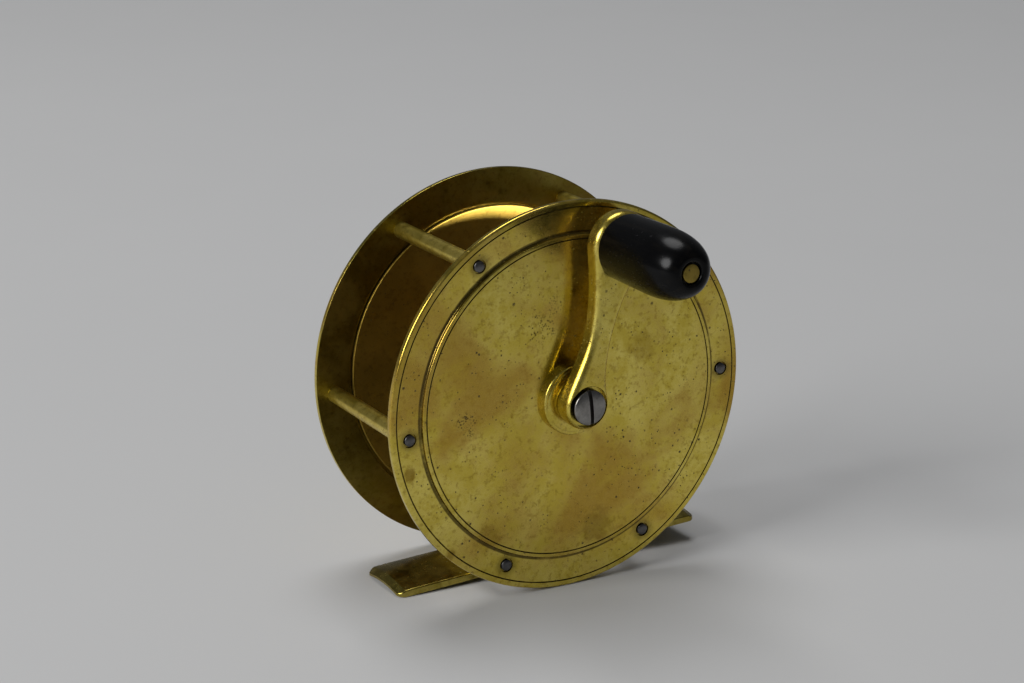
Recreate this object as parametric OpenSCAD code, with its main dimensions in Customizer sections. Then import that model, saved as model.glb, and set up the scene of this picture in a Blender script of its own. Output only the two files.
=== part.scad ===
// Crank-wind fly reel. Two brass end plates stand on six pillars and carry a narrow spool on a
// steel spindle. A cranked arm with a turned grip winds it, and a toothed wheel with a sprung
// pawl behind the front plate checks it. An arched foot under the cage seats on the rod.
//
// Frame: the origin is on the rod seat, midway along the foot and midway between the plates,
// in the plane of the foot's two long lower edges. +Z is up, from the rod to the spool.
// The spindle runs along Y, with the crank on the -Y side.
// A depth is a distance behind the outer face of the front plate's rim, along +Y.

/* [Cage] */
// Outer radius of both end plates
plate_r = 38.1; // [31.5:0.1:46]
// Distance over the two plate rims, without the raised discs
cage_width = 32.4; // [26:0.1:42]
// How far the plates reach below the rod seat
seat_drop = 1.9; // [1.2:0.1:2.6]
// Thickness of a plate at its rim
plate_t = 1.2; // [1:0.05:2]
// Radius of the round-over on the plate rims
rim_round = 0.45; // [0.1:0.05:0.5]
// Gap between a pillar and the edge of the raised disc
pillar_disc_gap = 0.93; // [0.7:0.01:1.5]
// How far the disc stands proud of the rim
disc_rise = 0.45; // [0.2:0.05:0.7]
// Width of the sloping step round the disc
disc_cove = 0.4; // [0.2:0.05:0.6]
// Wall thickness of the disc
disc_t = 1.15; // [0.9:0.05:1.5]
// How much smaller than the disc the recess behind it is
recess_step = 0.6; // [0.4:0.05:1.5]
// Distance of each scribed line in from its edge
scribe_inset = 0.8; // [0.6:0.05:1.2]
// Width of the scribed lines
scribe_w = 0.3; // [0.2:0.05:0.4]
// Depth of the scribed lines
scribe_depth = 0.2; // [0.1:0.05:0.3]

/* [Pillars] */
// Radius of a pillar
pillar_r = 1.62; // [1.34:0.01:2]
// Distance of the pillars' centres in from the plate's edge
pillar_inset = 3.9; // [3.2:0.1:5]
// Angle of the two foot pillars from straight down
foot_pillar_angle = 26.5; // [22:0.5:32]
// Angle of the two side pillars from straight down
side_pillar_angle = 88; // [70:1:100]
// Angle of the two top pillars from straight down
top_pillar_angle = 148; // [130:1:160]
// Radius of a pillar screw's domed head
pillar_screw_head_r = 1.1; // [0.8:0.05:1.2]
// Radial gap round that head in its counterbore
pillar_screw_gap = 0.3; // [0.1:0.05:0.4]
// Height of the straight edge of that head
pillar_screw_head_t = 0.5; // [0.3:0.05:0.8]
// Height of the dome on that head
pillar_screw_dome = 0.35; // [0.2:0.05:0.5]
// Radius of a pillar screw's shank
pillar_screw_r = 0.65; // [0.5:0.05:0.75]
// Depth of the counterbore under the head
pillar_counterbore = 0.6; // [0.4:0.05:0.8]
// How far a pillar screw enters its pillar
pillar_screw_grip = 4; // [3:0.5:8]

/* [Foot] */
// Length of the foot along the rod
foot_len = 67.6; // [55:0.1:80]
// Width of the foot across the rod
foot_w = 13.9; // [11.5:0.1:17]
// Thickness of the foot
foot_t = 1.3; // [1:0.05:1.6]
// Radius of the foot's hollow underside
foot_seat_r = 30; // [24:1:40]
// Radius of the foot's corners in plan
foot_corner_r = 1.6; // [0.5:0.1:4]
// Length of the bevel at each end of the foot
foot_bevel_len = 1.7; // [0.5:0.1:4]
// Thickness left at the tip of that bevel
foot_tip_t = 0.45; // [0.3:0.05:0.8]
// Wall of a saddle round its pillar
saddle_wall = 1.15; // [0.9:0.05:1.4]
// Length of a saddle between the plates
saddle_len = 12; // [10:0.5:16]
// Distance between the two screws of a saddle
foot_screw_spacing = 6.4; // [5:0.1:7.7]
// Radius of a foot screw's countersunk head
foot_screw_head_r = 1.5; // [1.2:0.05:1.8]
// Radius of a foot screw's shank
foot_screw_r = 0.7; // [0.5:0.05:0.9]
// How far a foot screw's head lies inside the foot's hollow
foot_screw_sink = 0.1; // [0.05:0.05:0.2]
// Width of a foot screw's slot
foot_screw_slot = 0.5; // [0.3:0.05:0.6]
// Depth of that slot
foot_screw_slot_depth = 0.35; // [0.2:0.05:0.5]

/* [Spool] */
// Radial gap between a spool flange and the recess or ring it turns in
flange_clearance = 0.55; // [0.3:0.05:1.5]
// Thickness of a spool flange
flange_t = 0.7; // [0.5:0.05:1]
// Gap between the back flange and the floor of its recess
flange_gap = 0.3; // [0.2:0.05:0.5]
// Gap between the check and the front flange
check_gap = 0.3; // [0.2:0.05:1]
// Radius of the arbor that the line is wound on
arbor_r = 7; // [6:0.1:12]
// Radius of the spigots that carry the flanges
spigot_r = 4.6; // [4:0.1:5]
// Radius of a flange rivet
rivet_r = 0.6; // [0.4:0.05:0.65]
// How far a flange rivet enters the arbor
rivet_grip = 2.5; // [1.5:0.1:5]
// Number of rivets in each flange
rivet_count = 4; // [3:1:6]

/* [Spindle and bushes] */
// Radius of the spindle
spindle_r = 2.5; // [2.05:0.05:3]
// How much smaller the back journal's radius is
journal_step = 0.7; // [0.4:0.05:0.9]
// Length of the back journal beyond the back disc
journal_len = 1.5; // [0.5:0.1:1.8]
// Radial running clearance of the journals, the pawl and the grip
running_clearance = 0.04; // [0.02:0.01:0.08]
// Wall of a bush between the spindle and its plate
bush_wall = 1.4; // [1:0.05:1.8]
// Width of the front bush's flange beyond that wall
front_bush_flange_w = 2.9; // [1.7:0.1:4]
// Height of the front bush above the disc
front_bush_h = 1.7; // [1.4:0.05:2.2]
// Width of the back bush's flange beyond that wall
back_bush_flange_w = 1.7; // [1.2:0.1:3]
// Height of the back bush above the disc
back_bush_h = 2.6; // [2.2:0.1:4]

/* [Crank] */
// Distance of the handle's pin in from the plate's edge
handle_inset = 7.2; // [6.6:0.1:12]
// Angle of the pin round the spindle at rest, from the right
crank_angle = 73; // [0:1:359]
// Gap between the front bush and the crank washer
washer_gap = 0.15; // [0.05:0.05:0.3]
// Thickness of the crank washer
washer_t = 1.2; // [0.8:0.05:2]
// How far the crank washer stays inside the arm's boss
washer_inset = 0.3; // [0:0.05:0.6]
// Thickness of the arm
arm_t = 3.4; // [2.8:0.1:4]
// Wall of the arm's boss outside its counterbore
boss_wall = 0.55; // [0.4:0.05:1]
// How far the arm's round end reaches beyond the grip's base
arm_end_margin = 0.2; // [0:0.05:0.5]
// How far the corners of the spindle's square stay inside its radius
square_corner_inset = 0.24; // [0.1:0.02:0.4]
// Radius of the crank screw's head
crank_screw_head_r = 3.4; // [3:0.1:4.4]
// Radial gap round that head in its counterbore
crank_screw_gap = 0.65; // [0.3:0.05:0.8]
// Depth of the counterbore in the arm
crank_counterbore = 1.2; // [0.8:0.1:1.6]
// Thickness of the crank screw's head at its edge
crank_screw_head_t = 1.7; // [1.2:0.1:2.4]
// Height of the dome on the crank screw's head
crank_screw_dome = 0.35; // [0.2:0.05:0.6]
// Width of the screw slot
slot_w = 0.8; // [0.5:0.05:1]
// Depth of the screw slot
slot_depth = 0.9; // [0.5:0.1:1.2]
// Wall left between the crank screw and the flats of the square
square_wall = 0.4; // [0.3:0.05:0.6]

/* [Grip] */
// Length of the grip
grip_len = 21.6; // [16:0.1:28]
// Radius of the grip's base
grip_base_r = 6.3; // [5.2:0.1:6.5]
// Largest radius of the grip
grip_max_r = 6.5; // [5.4:0.1:7.8]
// Where the grip is widest, as a share of its length from the base
grip_crown = 0.55; // [0.35:0.05:0.7]
// Radius of the flat on the grip's end
grip_flat_r = 2.8; // [2.4:0.1:3.5]
// End play between the arm and the grip
grip_play = 0.1; // [0.05:0.05:0.2]
// Radius of the handle pin
pin_r = 1.4; // [1.1:0.1:1.6]
// Radius of the pin's riveted end
pin_head_r = 1.75; // [1.7:0.05:2.2]
// Thickness of that riveted end
pin_head_t = 0.8; // [0.5:0.1:1.2]
// How far the riveted end lies below the grip's end
pin_recess = 0.25; // [0:0.05:0.5]

/* [Check] */
// Number of teeth on the check wheel, a multiple of twelve
tooth_count = 24; // [24:12:36]
// Radius over the tips of the teeth
wheel_tip_r = 7.6; // [6.7:0.1:9.2]
// Depth of the teeth
tooth_h = 1.3; // [1:0.05:1.6]
// Thickness of the check wheel
wheel_t = 1.6; // [1.3:0.1:2]
// Gap between the front recess's floor and the check wheel
wheel_gap = 0.4; // [0.3:0.05:0.6]
// Distance from the spindle to the pawl's stud
pawl_dist = 14; // [13:0.1:17]
// Angle of the pawl round the spindle, from the right
pawl_angle = 45; // [0:15:345]
// Radius of the pawl's hub
pawl_hub_r = 2.3; // [1.9:0.1:2.6]
// How much thinner than the wheel the pawl is on each side
pawl_inset = 0.1; // [0.05:0.05:0.2]
// Gap between the pawl's point and the bottom of a tooth gap
pawl_tip_gap = 0.45; // [0.4:0.05:0.6]
// Radius of the pawl's stud and of the foot of the spring's post
stud_r = 1.1; // [0.9:0.05:1.3]
// Metal left in front of the seats of the stud and the post
stud_skin = 0.3; // [0.2:0.05:0.5]
// Thickness of the heads on the stud and the post
stud_head_t = 0.4; // [0.3:0.05:0.6]
// Length of the pawl's tail beyond its stud
tail_len = 5; // [4.1:0.1:6]
// Width of the tail
tail_w = 2.6; // [2.1:0.1:3.2]
// Thickness of the spring strip
spring_t = 0.4; // [0.3:0.05:0.6]
// Gap between the spring and the tail on each side
spring_gap = 0.2; // [0.15:0.05:0.3]
// Gap between the end of the tail and the spring's bend
tail_gap = 1.1; // [0.8:0.1:2]

/* [Hidden] */
$fn = 96;
fine = 160;
tiny = 0.01;

// Radii of the cage, each worked out from the one outside it.
pillar_circle_r = plate_r - pillar_inset;
disc_r = pillar_circle_r - pillar_r - pillar_disc_gap;
recess_r = disc_r - recess_step;
flange_r = recess_r - flange_clearance;
axis_height = plate_r - seat_drop;
// Radii round the spindle.
journal_r = spindle_r - journal_step;
bush_r = spindle_r + bush_wall;
front_bush_flange_r = bush_r + front_bush_flange_w;
back_bush_flange_r = bush_r + back_bush_flange_w;
square_w = (spindle_r - square_corner_inset) * sqrt(2);
crank_screw_r = square_w / 2 - square_wall;
crank_counterbore_r = crank_screw_head_r + crank_screw_gap;
boss_r = crank_counterbore_r + boss_wall;
// The crank's reach and its round end.
crank_len = plate_r - handle_inset;
arm_end_r = max(grip_base_r, grip_max_r - arm_end_margin) + arm_end_margin;
// Depths along the spindle, from the front plate's rim face.
disc_front = -disc_rise;
front_floor = disc_front + disc_t;
back_rim = cage_width - plate_t;
disc_back = cage_width + disc_rise;
back_floor = disc_back - disc_t;
back_flange_back = back_floor - flange_gap;
back_flange_front = back_flange_back - flange_t;
wheel_front = front_floor + wheel_gap;
wheel_back = wheel_front + wheel_t;
pawl_front = wheel_front + pawl_inset;
pawl_back = wheel_back - pawl_inset;
stud_seat = disc_front + stud_skin;
stud_head_back = pawl_back + stud_head_t;
front_flange_front = stud_head_back + check_gap;
front_flange_back = front_flange_front + flange_t;
arm_back = disc_front - front_bush_h - washer_gap - washer_t;
arm_front = arm_back - arm_t;
head_seat = arm_front + crank_counterbore;
grip_base = arm_front - grip_play;
grip_tip = grip_base - grip_len;
// Small play that keeps two ends of one joint apart, and the overreach of a cutting tool.
end_play = 0.1;
cut = 1;
// Angles of the pillars from straight down, right side first in each pair.
PILLAR_ANGLES = [
    foot_pillar_angle, -foot_pillar_angle,
    side_pillar_angle, -side_pillar_angle,
    top_pillar_angle, -top_pillar_angle
];
// Colours of the finishes.
BRASS = [0.71, 0.62, 0.27];
DARK_BRASS = [0.58, 0.48, 0.20];
STEEL = [0.55, 0.55, 0.57];
BLUED = [0.28, 0.29, 0.33];
HORN = [0.05, 0.04, 0.05];

// ---- Placing ----

// Children are drawn face on, as seen from the crank side: x to the right, y up, and z
// towards the crank. A depth d is then at z = -d.
module axial() {
    translate([0, -cage_width / 2, axis_height]) rotate([90, 0, 0]) children();
}

// Puts children at a pillar's centre, at an angle from straight down.
module at_pillar(angle) {
    rotate([0, 0, angle]) translate([0, -pillar_circle_r, 0]) children();
}

// A flat outline between two depths.
module slab(front, back) {
    translate([0, 0, -back]) linear_extrude(height = back - front) children();
}

// A round bar between two depths.
module bar(r, front, back) {
    translate([0, 0, -back]) cylinder(r = r, h = back - front);
}

// Points of an arc about a centre, both ends included.
function arc(centre, r, from, to, steps) = [
    for (i = [0:steps])
        let (a = from + (to - from) * i / steps)
        centre + r * [cos(a), sin(a)]
];

// Points of a cubic curve through two ends with two handles, without its first point.
function curve(a, b, c, d, steps) = [
    for (i = [1:steps])
        let (t = i / steps, u = 1 - t)
        u * u * u * a + 3 * u * u * t * b + 3 * u * t * t * c + t * t * t * d
];

// ---- Plates ----

// How far the middle of the sloping step lies from its upper and inner edges, as a share of it.
cove_hollow = 0.35;

// Half section of a plate with its outer face towards +y: rim, raised disc and recess.
// The rim's outer face is at y = 0 and the bore is left for a cut.
module plate_section() {
    polygon(concat(
        [[0, disc_rise], [disc_r, disc_rise], [disc_r + disc_cove * cove_hollow, disc_rise * cove_hollow]],
        [[disc_r + disc_cove, 0]],
        arc([plate_r - rim_round, -rim_round], rim_round, 90, 0, 4),
        arc([plate_r - rim_round, -plate_t + rim_round], rim_round, 0, -90, 4),
        [[recess_r, -plate_t], [recess_r, disc_rise - disc_t], [0, disc_rise - disc_t]]
    ));
}

// A scribed line in a face at height z.
module scribed_line(r, z) {
    translate([0, 0, z]) rotate_extrude($fn = fine)
        polygon([[r - scribe_w / 2, tiny], [r + scribe_w / 2, tiny], [r, -scribe_depth]]);
}

// A whole plate, outer face towards +z.
module plate() {
    difference() {
        rotate_extrude($fn = fine) plate_section();
        scribed_line(plate_r - scribe_inset, 0);
        scribed_line(disc_r - scribe_inset, disc_rise);
        bar(bush_r, disc_front - cut, plate_t + cut);
        for (angle = PILLAR_ANGLES) at_pillar(angle) {
            bar(pillar_screw_r, -cut, plate_t + cut);
            bar(pillar_screw_head_r + pillar_screw_gap, -cut, pillar_counterbore);
        }
    }
}

module front_plate() {
    color(BRASS) axial() difference() {
        plate();
        at_pawl() bar(stud_r, stud_seat, plate_t);
        at_post() bar(stud_r, stud_seat, plate_t);
    }
}

module back_plate() {
    color(BRASS) axial() translate([0, 0, -cage_width]) mirror([0, 0, 1]) plate();
}

// ---- Pillars and their screws ----

// One pillar, tapped at both ends.
module pillar(angle) {
    color(BRASS) axial() at_pillar(angle) difference() {
        bar(pillar_r, plate_t, back_rim);
        bar(pillar_screw_r, plate_t - cut, plate_t + pillar_screw_grip);
        bar(pillar_screw_r, back_rim - pillar_screw_grip, back_rim + cut);
    }
}

// Points of a domed screw head, from its edge at height z up to its crown on the axis.
function dome(r, z, rise, steps) = [
    for (i = [0:steps])
        let (a = 90 * i / steps)
        [i == steps ? 0 : r * cos(a), z + rise * sin(a)]
];

// One pillar screw, with its head towards +z and its seat at z = 0.
module pillar_screw() {
    end = -plate_t + pillar_counterbore - pillar_screw_grip;
    rotate_extrude($fn = 48) polygon(concat(
        [[0, end], [pillar_screw_r, end], [pillar_screw_r, 0], [pillar_screw_head_r, 0]],
        dome(pillar_screw_head_r, pillar_screw_head_t, pillar_screw_dome, 5)
    ));
}

module front_pillar_screws() {
    color(BLUED) axial() for (angle = PILLAR_ANGLES)
        at_pillar(angle) translate([0, 0, -pillar_counterbore]) pillar_screw();
}

module back_pillar_screws() {
    color(BLUED) axial() for (angle = PILLAR_ANGLES)
        at_pillar(angle) translate([0, 0, -cage_width + pillar_counterbore])
            mirror([0, 0, 1]) pillar_screw();
}

// ---- Foot ----

// Height of the centre of the foot's curve, so that its lower edges lie in the seat plane.
seat_centre_z = -sqrt(foot_seat_r * foot_seat_r - foot_w * foot_w / 4);
foot_top_r = foot_seat_r + foot_t;
foot_crown_z = seat_centre_z + foot_top_r;
pillar_foot_x = pillar_circle_r * sin(foot_pillar_angle);
pillar_foot_z = axis_height - pillar_circle_r * cos(foot_pillar_angle);
saddle_r = pillar_r + saddle_wall;
// Heights of a foot screw's head, inside the hollow's lower side, and of its tip.
foot_screw_z = foot_screw_sink + seat_centre_z + sqrt(
    foot_seat_r * foot_seat_r - pow(foot_screw_spacing / 2 + foot_screw_head_r, 2));
foot_screw_top = pillar_foot_z - pillar_r - end_play;

// Solid bar of the foot's curve, along X.
module foot_round(r) {
    translate([0, 0, seat_centre_z]) rotate([0, 90, 0])
        cylinder(r = r, h = foot_len + 2 * cut, center = true, $fn = fine);
}

// Plan of the foot with its rounded corners.
module foot_plan() {
    x = foot_len / 2 - foot_corner_r;
    y = foot_w / 2 - foot_corner_r;
    polygon(concat(
        arc([x, y], foot_corner_r, 0, 90, 6),
        arc([-x, y], foot_corner_r, 90, 180, 6),
        arc([-x, -y], foot_corner_r, 180, 270, 6),
        arc([x, -y], foot_corner_r, 270, 360, 6)
    ));
}

// Side view of one end's bevel, as the material above the slope. side is 1 on the right.
module bevel_tool(side) {
    tip_z = foot_crown_z - foot_t + foot_tip_t;
    slope = (foot_t - foot_tip_t) / foot_bevel_len;
    inner = foot_len / 2 - foot_bevel_len - cut;
    outer = foot_len / 2 + cut;
    rotate([90, 0, 0]) linear_extrude(height = foot_w + 2 * cut, center = true)
        polygon([
            [side * outer, tip_z - cut * slope],
            [side * outer, foot_crown_z + cut],
            [side * inner, foot_crown_z + cut],
            [side * inner, foot_crown_z + cut * slope]
        ]);
}

// Places children at each foot screw.
module at_foot_screws() {
    for (sx = [-1, 1], sy = [-1, 1])
        translate([sx * pillar_foot_x, sy * foot_screw_spacing / 2, 0]) children();
}

// A countersunk screw on the Z axis, wide end down: its head's lower edge is at height base.
module foot_screw_body(base, top) {
    neck_z = foot_screw_z + foot_screw_head_r - foot_screw_r;
    rotate_extrude($fn = 48) polygon([
        [0, base], [foot_screw_head_r, base], [foot_screw_head_r, foot_screw_z],
        [foot_screw_r, neck_z], [foot_screw_r, top], [0, top]
    ]);
}

module foot() {
    color(BRASS) difference() {
        intersection() {
            foot_round(foot_top_r);
            translate([0, 0, -cut]) linear_extrude(height = foot_crown_z + 2 * cut) foot_plan();
        }
        foot_round(foot_seat_r);
        bevel_tool(1);
        bevel_tool(-1);
        at_foot_screws() foot_screw_body(-cut, foot_crown_z + cut);
    }
}

module foot_screws() {
    slot_len = 2 * foot_screw_head_r + 2 * cut;
    color(BLUED) at_foot_screws() difference() {
        foot_screw_body(foot_screw_z - foot_screw_sink / 2, foot_screw_top);
        translate([-slot_len / 2, -foot_screw_slot / 2, foot_screw_z - cut])
            cube([slot_len, foot_screw_slot, cut + foot_screw_slot_depth]);
    }
}

// A saddle that ties one foot pillar to the foot. side is 1 on the right and -1 on the left.
module saddle(side) {
    color(BRASS) difference() {
        union() {
            at_foot_pillar(side) cylinder(r = saddle_r, h = saddle_len, center = true);
            translate([side * pillar_foot_x - saddle_r, -saddle_len / 2, 0])
                cube([2 * saddle_r, saddle_len, pillar_foot_z]);
        }
        at_foot_pillar(side) cylinder(r = pillar_r, h = saddle_len + 2 * cut, center = true);
        foot_round(foot_top_r);
        at_foot_screws() cylinder(r = foot_screw_r, h = foot_screw_top);
    }
}

// Puts children on a foot pillar's axis, midway between the plates, z along the pillar.
module at_foot_pillar(side) {
    translate([side * pillar_foot_x, 0, pillar_foot_z]) rotate([90, 0, 0]) children();
}

// ---- Bushes and the ring round the check ----

// Height of the thin foot of a bush's flange, and the step from it to the domed part.
bush_edge = 0.3;
bush_step_h = 0.15;
bush_step_w = 0.7;

// Front bush: a turned collar on the disc, bored for the spindle.
module front_bush() {
    bore_r = spindle_r + running_clearance;
    back = -wheel_front + wheel_gap / 2;
    step_r = front_bush_flange_r - bush_step_w;
    step_z = disc_rise + bush_edge + bush_step_h;
    round_r = front_bush_h - bush_edge - bush_step_h;
    color(BRASS) axial() rotate_extrude($fn = fine) polygon(concat(
        [[bore_r, back], [bush_r, back], [bush_r, disc_rise], [front_bush_flange_r, disc_rise]],
        [[front_bush_flange_r, disc_rise + bush_edge], [step_r, step_z]],
        arc([step_r - round_r, step_z], round_r, 0, 90, 6),
        [[bore_r, step_z + round_r]]
    ));
}

// Back bush: a closed cap that holds the spindle's back journal.
module back_bush() {
    bore_r = journal_r + running_clearance;
    step_r = back_bush_flange_r - bush_step_w;
    step_z = bush_edge + bush_step_h;
    color(BRASS) axial() translate([0, 0, -disc_back]) mirror([0, 0, 1])
        rotate_extrude($fn = fine) polygon(concat(
            [[bore_r, -disc_t], [bush_r, -disc_t], [bush_r, 0], [back_bush_flange_r, 0]],
            [[back_bush_flange_r, bush_edge]],
            dome(step_r, step_z, back_bush_h - step_z, 8),
            [[0, journal_len + end_play], [bore_r, journal_len + end_play]]
        ));
}

// Wall of the ring round the check.
guard_wall = 0.95;

// Ring inside the front plate that walls in the check, with the front flange inside it.
module check_guard_ring() {
    color(DARK_BRASS) axial() difference() {
        bar(recess_r + guard_wall, plate_t, front_flange_back);
        bar(recess_r, plate_t - cut, front_flange_back + cut);
    }
}

// ---- Spool ----

module spool_arbor() {
    color(DARK_BRASS) axial() difference() {
        union() {
            bar(arbor_r, front_flange_back, back_flange_front);
            bar(spigot_r, wheel_back, back_flange_back);
        }
        bar(spindle_r, wheel_back - cut, back_flange_back + cut);
        rivet_holes();
    }
}

rivet_circle_r = (spigot_r + arbor_r) / 2;

// The stretch of every rivet, through both flanges and into the arbor's ends.
module rivet_holes() {
    for (i = [0:rivet_count - 1]) rotate([0, 0, i * 360 / rivet_count])
        translate([rivet_circle_r, 0, 0]) {
            bar(rivet_r, front_flange_front, front_flange_back + rivet_grip);
            bar(rivet_r, back_flange_front - rivet_grip, back_flange_back);
        }
}

module flange_rivets() {
    color(BRASS) axial() rivet_holes();
}

module flange(front, back) {
    difference() {
        bar(flange_r, front, back, $fn = fine);
        bar(spigot_r, front - cut, back + cut);
        rivet_holes();
    }
}

module spool_front_flange() {
    color(DARK_BRASS) axial() flange(front_flange_front, front_flange_back);
}

module spool_back_flange() {
    color(DARK_BRASS) axial() flange(back_flange_front, back_flange_back);
}

square_end = head_seat + end_play;

module spindle() {
    color(STEEL) axial() difference() {
        union() {
            bar(spindle_r, arm_back, back_flange_back);
            bar(journal_r, back_flange_back, disc_back + journal_len);
            slab(square_end, arm_back) square(square_w, center = true);
        }
        bar(crank_screw_r, square_end - cut, disc_front);
    }
}

// ---- Check ----

spring_inner_r = tail_w / 2 + spring_gap;
spring_outer_r = spring_inner_r + spring_t;
post_dist = tail_len + tail_gap + spring_outer_r;
// Shares of a tooth's pitch at which its gap ends and its tip begins and ends.
gap_half = 0.14;
tip_from = 0.44;
tip_to = 0.56;
// Half widths of the pawl's point at its end and where its flanks start, and their length.
point_end = 0.12;
point_w = 0.42;
point_len = 1.2;

// Puts children at the pawl's stud, x away from the spindle.
module at_pawl() {
    rotate([0, 0, pawl_angle]) translate([pawl_dist, 0, 0]) children();
}

// Puts children at the spring's post.
module at_post() {
    at_pawl() translate([post_dist, 0, 0]) children();
}

// Outline of the check wheel. A gap between teeth faces the pawl.
module wheel_outline() {
    pitch = 360 / tooth_count;
    root_r = wheel_tip_r - tooth_h;
    polygon([
        for (i = [0:tooth_count - 1], k = [0:3])
            let (
                a = (i + [-gap_half, gap_half, tip_from, tip_to][k]) * pitch,
                r = k < 2 ? root_r : wheel_tip_r
            )
            r * [cos(a), sin(a)]
    ]);
}

module check_wheel() {
    color(STEEL) axial() difference() {
        rotate([0, 0, pawl_angle]) slab(wheel_front, wheel_back) wheel_outline();
        bar(spindle_r, wheel_front - cut, wheel_back + cut);
    }
}

// The pawl: a wedge that points at the spindle, a hub on its stud and a square tail.
module pawl() {
    tip = pawl_dist - (wheel_tip_r - tooth_h + pawl_tip_gap);
    root = pawl_hub_r * 0.95;
    color(STEEL) axial() at_pawl() difference() {
        union() {
            bar(pawl_hub_r, pawl_front, pawl_back);
            slab(pawl_front, pawl_back) polygon([
                [-tip, -point_end], [point_len - tip, -point_w], [0, -root],
                [0, root], [point_len - tip, point_w], [-tip, point_end]
            ]);
            slab(pawl_front, pawl_back)
                translate([0, -tail_w / 2]) square([tail_len, tail_w]);
        }
        bar(stud_r + running_clearance, pawl_front - cut, pawl_back + cut);
    }
}

// How far the stud's head reaches over the pawl's hub, and the pawl's end play under it.
stud_head_w = 0.7;
pawl_play = 0.05;

// The stud is riveted in the plate and headed behind the pawl.
module pawl_stud() {
    color(STEEL) axial() at_pawl() {
        bar(stud_r, stud_seat, pawl_back + pawl_play);
        bar(stud_r + stud_head_w, pawl_back + pawl_play, stud_head_back);
    }
}

// The spring: one strip bent round its post, with a leg along each side of the pawl's tail.
module check_spring() {
    leg_end_gap = 0.3;
    leg = post_dist - pawl_hub_r - leg_end_gap;
    color(STEEL) axial() at_post() slab(pawl_front, pawl_back) difference() {
        union() {
            circle(r = spring_outer_r);
            translate([-leg, -spring_outer_r]) square([leg, 2 * spring_outer_r]);
        }
        circle(r = spring_inner_r);
        translate([-leg - cut, -spring_inner_r]) square([leg + cut, 2 * spring_inner_r]);
    }
}

// The post that the spring is bent round, headed over the spring.
module spring_post() {
    color(STEEL) axial() at_post() {
        bar(stud_r, stud_seat, front_floor + tiny);
        bar(spring_inner_r, front_floor, pawl_back);
        bar(spring_outer_r, pawl_back, stud_head_back);
    }
}

// ---- Crank ----

module crank_washer() {
    color(BRASS) axial() difference() {
        bar(boss_r - washer_inset, arm_back, arm_back + washer_t);
        bar(spindle_r, arm_back - cut, arm_back + washer_t + cut);
    }
}

// Outline of the curved strap between the boss and the round end, along +x. Its left edge
// bows out beside the boss, and both edges widen into the round end on the side of the boss.
module strap_outline() {
    a = boss_r;
    l = crank_len;
    e = arm_end_r;
    join = e * [cos(110), sin(110)];
    left = [l * 0.62, a * 0.74];
    right = [l * 0.66, -a * 0.55];
    start = [-a * 0.08, a];
    end = [a * 0.5, -a * 0.866];
    polygon(concat(
        [[0, 0], start],
        curve(start, [a * 1.22, a * 0.94], [l * 0.32, a * 0.33], left, 12),
        curve(left, [l * 0.72, a * 0.86], [l * 0.82, e * 0.76], [l, 0] + join, 8),
        curve([l + join.x, -join.y], [l * 0.85, -e * 0.77], [l * 0.78, -a * 0.7], right, 8),
        curve(right, [l * 0.49, -a * 0.35], [l * 0.27, -a * 0.3], end, 12)
    ));
}

module crank_arm() {
    color(BRASS) axial() rotate([0, 0, crank_angle]) difference() {
        union() {
            bar(boss_r, arm_front, arm_back);
            slab(arm_front, arm_back) strap_outline();
            translate([crank_len, 0, 0]) bar(arm_end_r, arm_front, arm_back);
        }
        bar(crank_counterbore_r, arm_front - cut, head_seat);
        rotate([0, 0, -crank_angle]) slab(arm_front, arm_back + cut) square(square_w, center = true);
        translate([crank_len, 0, 0]) {
            bar(pin_r, arm_front - cut, arm_back + cut);
            bar(pin_head_r, arm_back - pin_head_t, arm_back + cut);
        }
    }
}

// The crank screw enters the spindle as far as the disc's face.
module crank_screw() {
    head_top = -head_seat + crank_screw_head_t;
    slot_len = 2 * crank_screw_head_r + 2 * cut;
    color(STEEL) axial() difference() {
        rotate_extrude($fn = fine) polygon(concat(
            [[0, -disc_front], [crank_screw_r, -disc_front], [crank_screw_r, -head_seat]],
            [[crank_screw_head_r, -head_seat]],
            dome(crank_screw_head_r, head_top, crank_screw_dome, 6)
        ));
        translate([-slot_w / 2, -slot_len / 2, head_top + crank_screw_dome - slot_depth])
            cube([slot_w, slot_len, slot_depth + cut]);
    }
}

// ---- Handle ----

// Puts children on the handle's pin, z towards the grip's tip.
module at_handle() {
    axial() rotate([0, 0, crank_angle]) translate([crank_len, 0, 0]) children();
}

// The pin is headed at both ends: flush in the arm's back and in the grip's tip.
module handle_pin() {
    color(BRASS) at_handle() {
        bar(pin_head_r, arm_back - pin_head_t, arm_back);
        bar(pin_r, grip_tip + pin_recess + pin_head_t, arm_back - pin_head_t);
        bar(pin_head_r, grip_tip + pin_recess, grip_tip + pin_recess + pin_head_t);
    }
}

// How square the shoulder of the grip is: 2 makes an ellipse, more makes it fuller.
grip_fullness = 2.2;

// Radius of the grip at a share s of its length from the base.
function grip_r(s) =
    s < grip_crown
    ? grip_base_r + (grip_max_r - grip_base_r) * sin(90 * s / grip_crown)
    : grip_flat_r + (grip_max_r - grip_flat_r)
        * sqrt(max(0, 1 - pow((s - grip_crown) / (1 - grip_crown), grip_fullness)));

// The turned grip: a barrel with a domed end, bored for the pin and its head.
module handle_grip() {
    steps = 26;
    edge = 0.3;
    bore_r = pin_r + running_clearance;
    room_r = pin_head_r + end_play;
    room = grip_len - pin_recess - pin_head_t - end_play;
    color(HORN) at_handle() translate([0, 0, -grip_base]) rotate_extrude($fn = fine)
        polygon(concat(
            [[bore_r, 0], [grip_base_r - edge, 0], [grip_base_r, edge]],
            [for (i = [1:steps])
                let (s = sin(90 * i / steps))
                [grip_r(s), grip_len * s]],
            [[room_r, grip_len], [room_r, room], [bore_r, room]]
        ));
}

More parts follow.
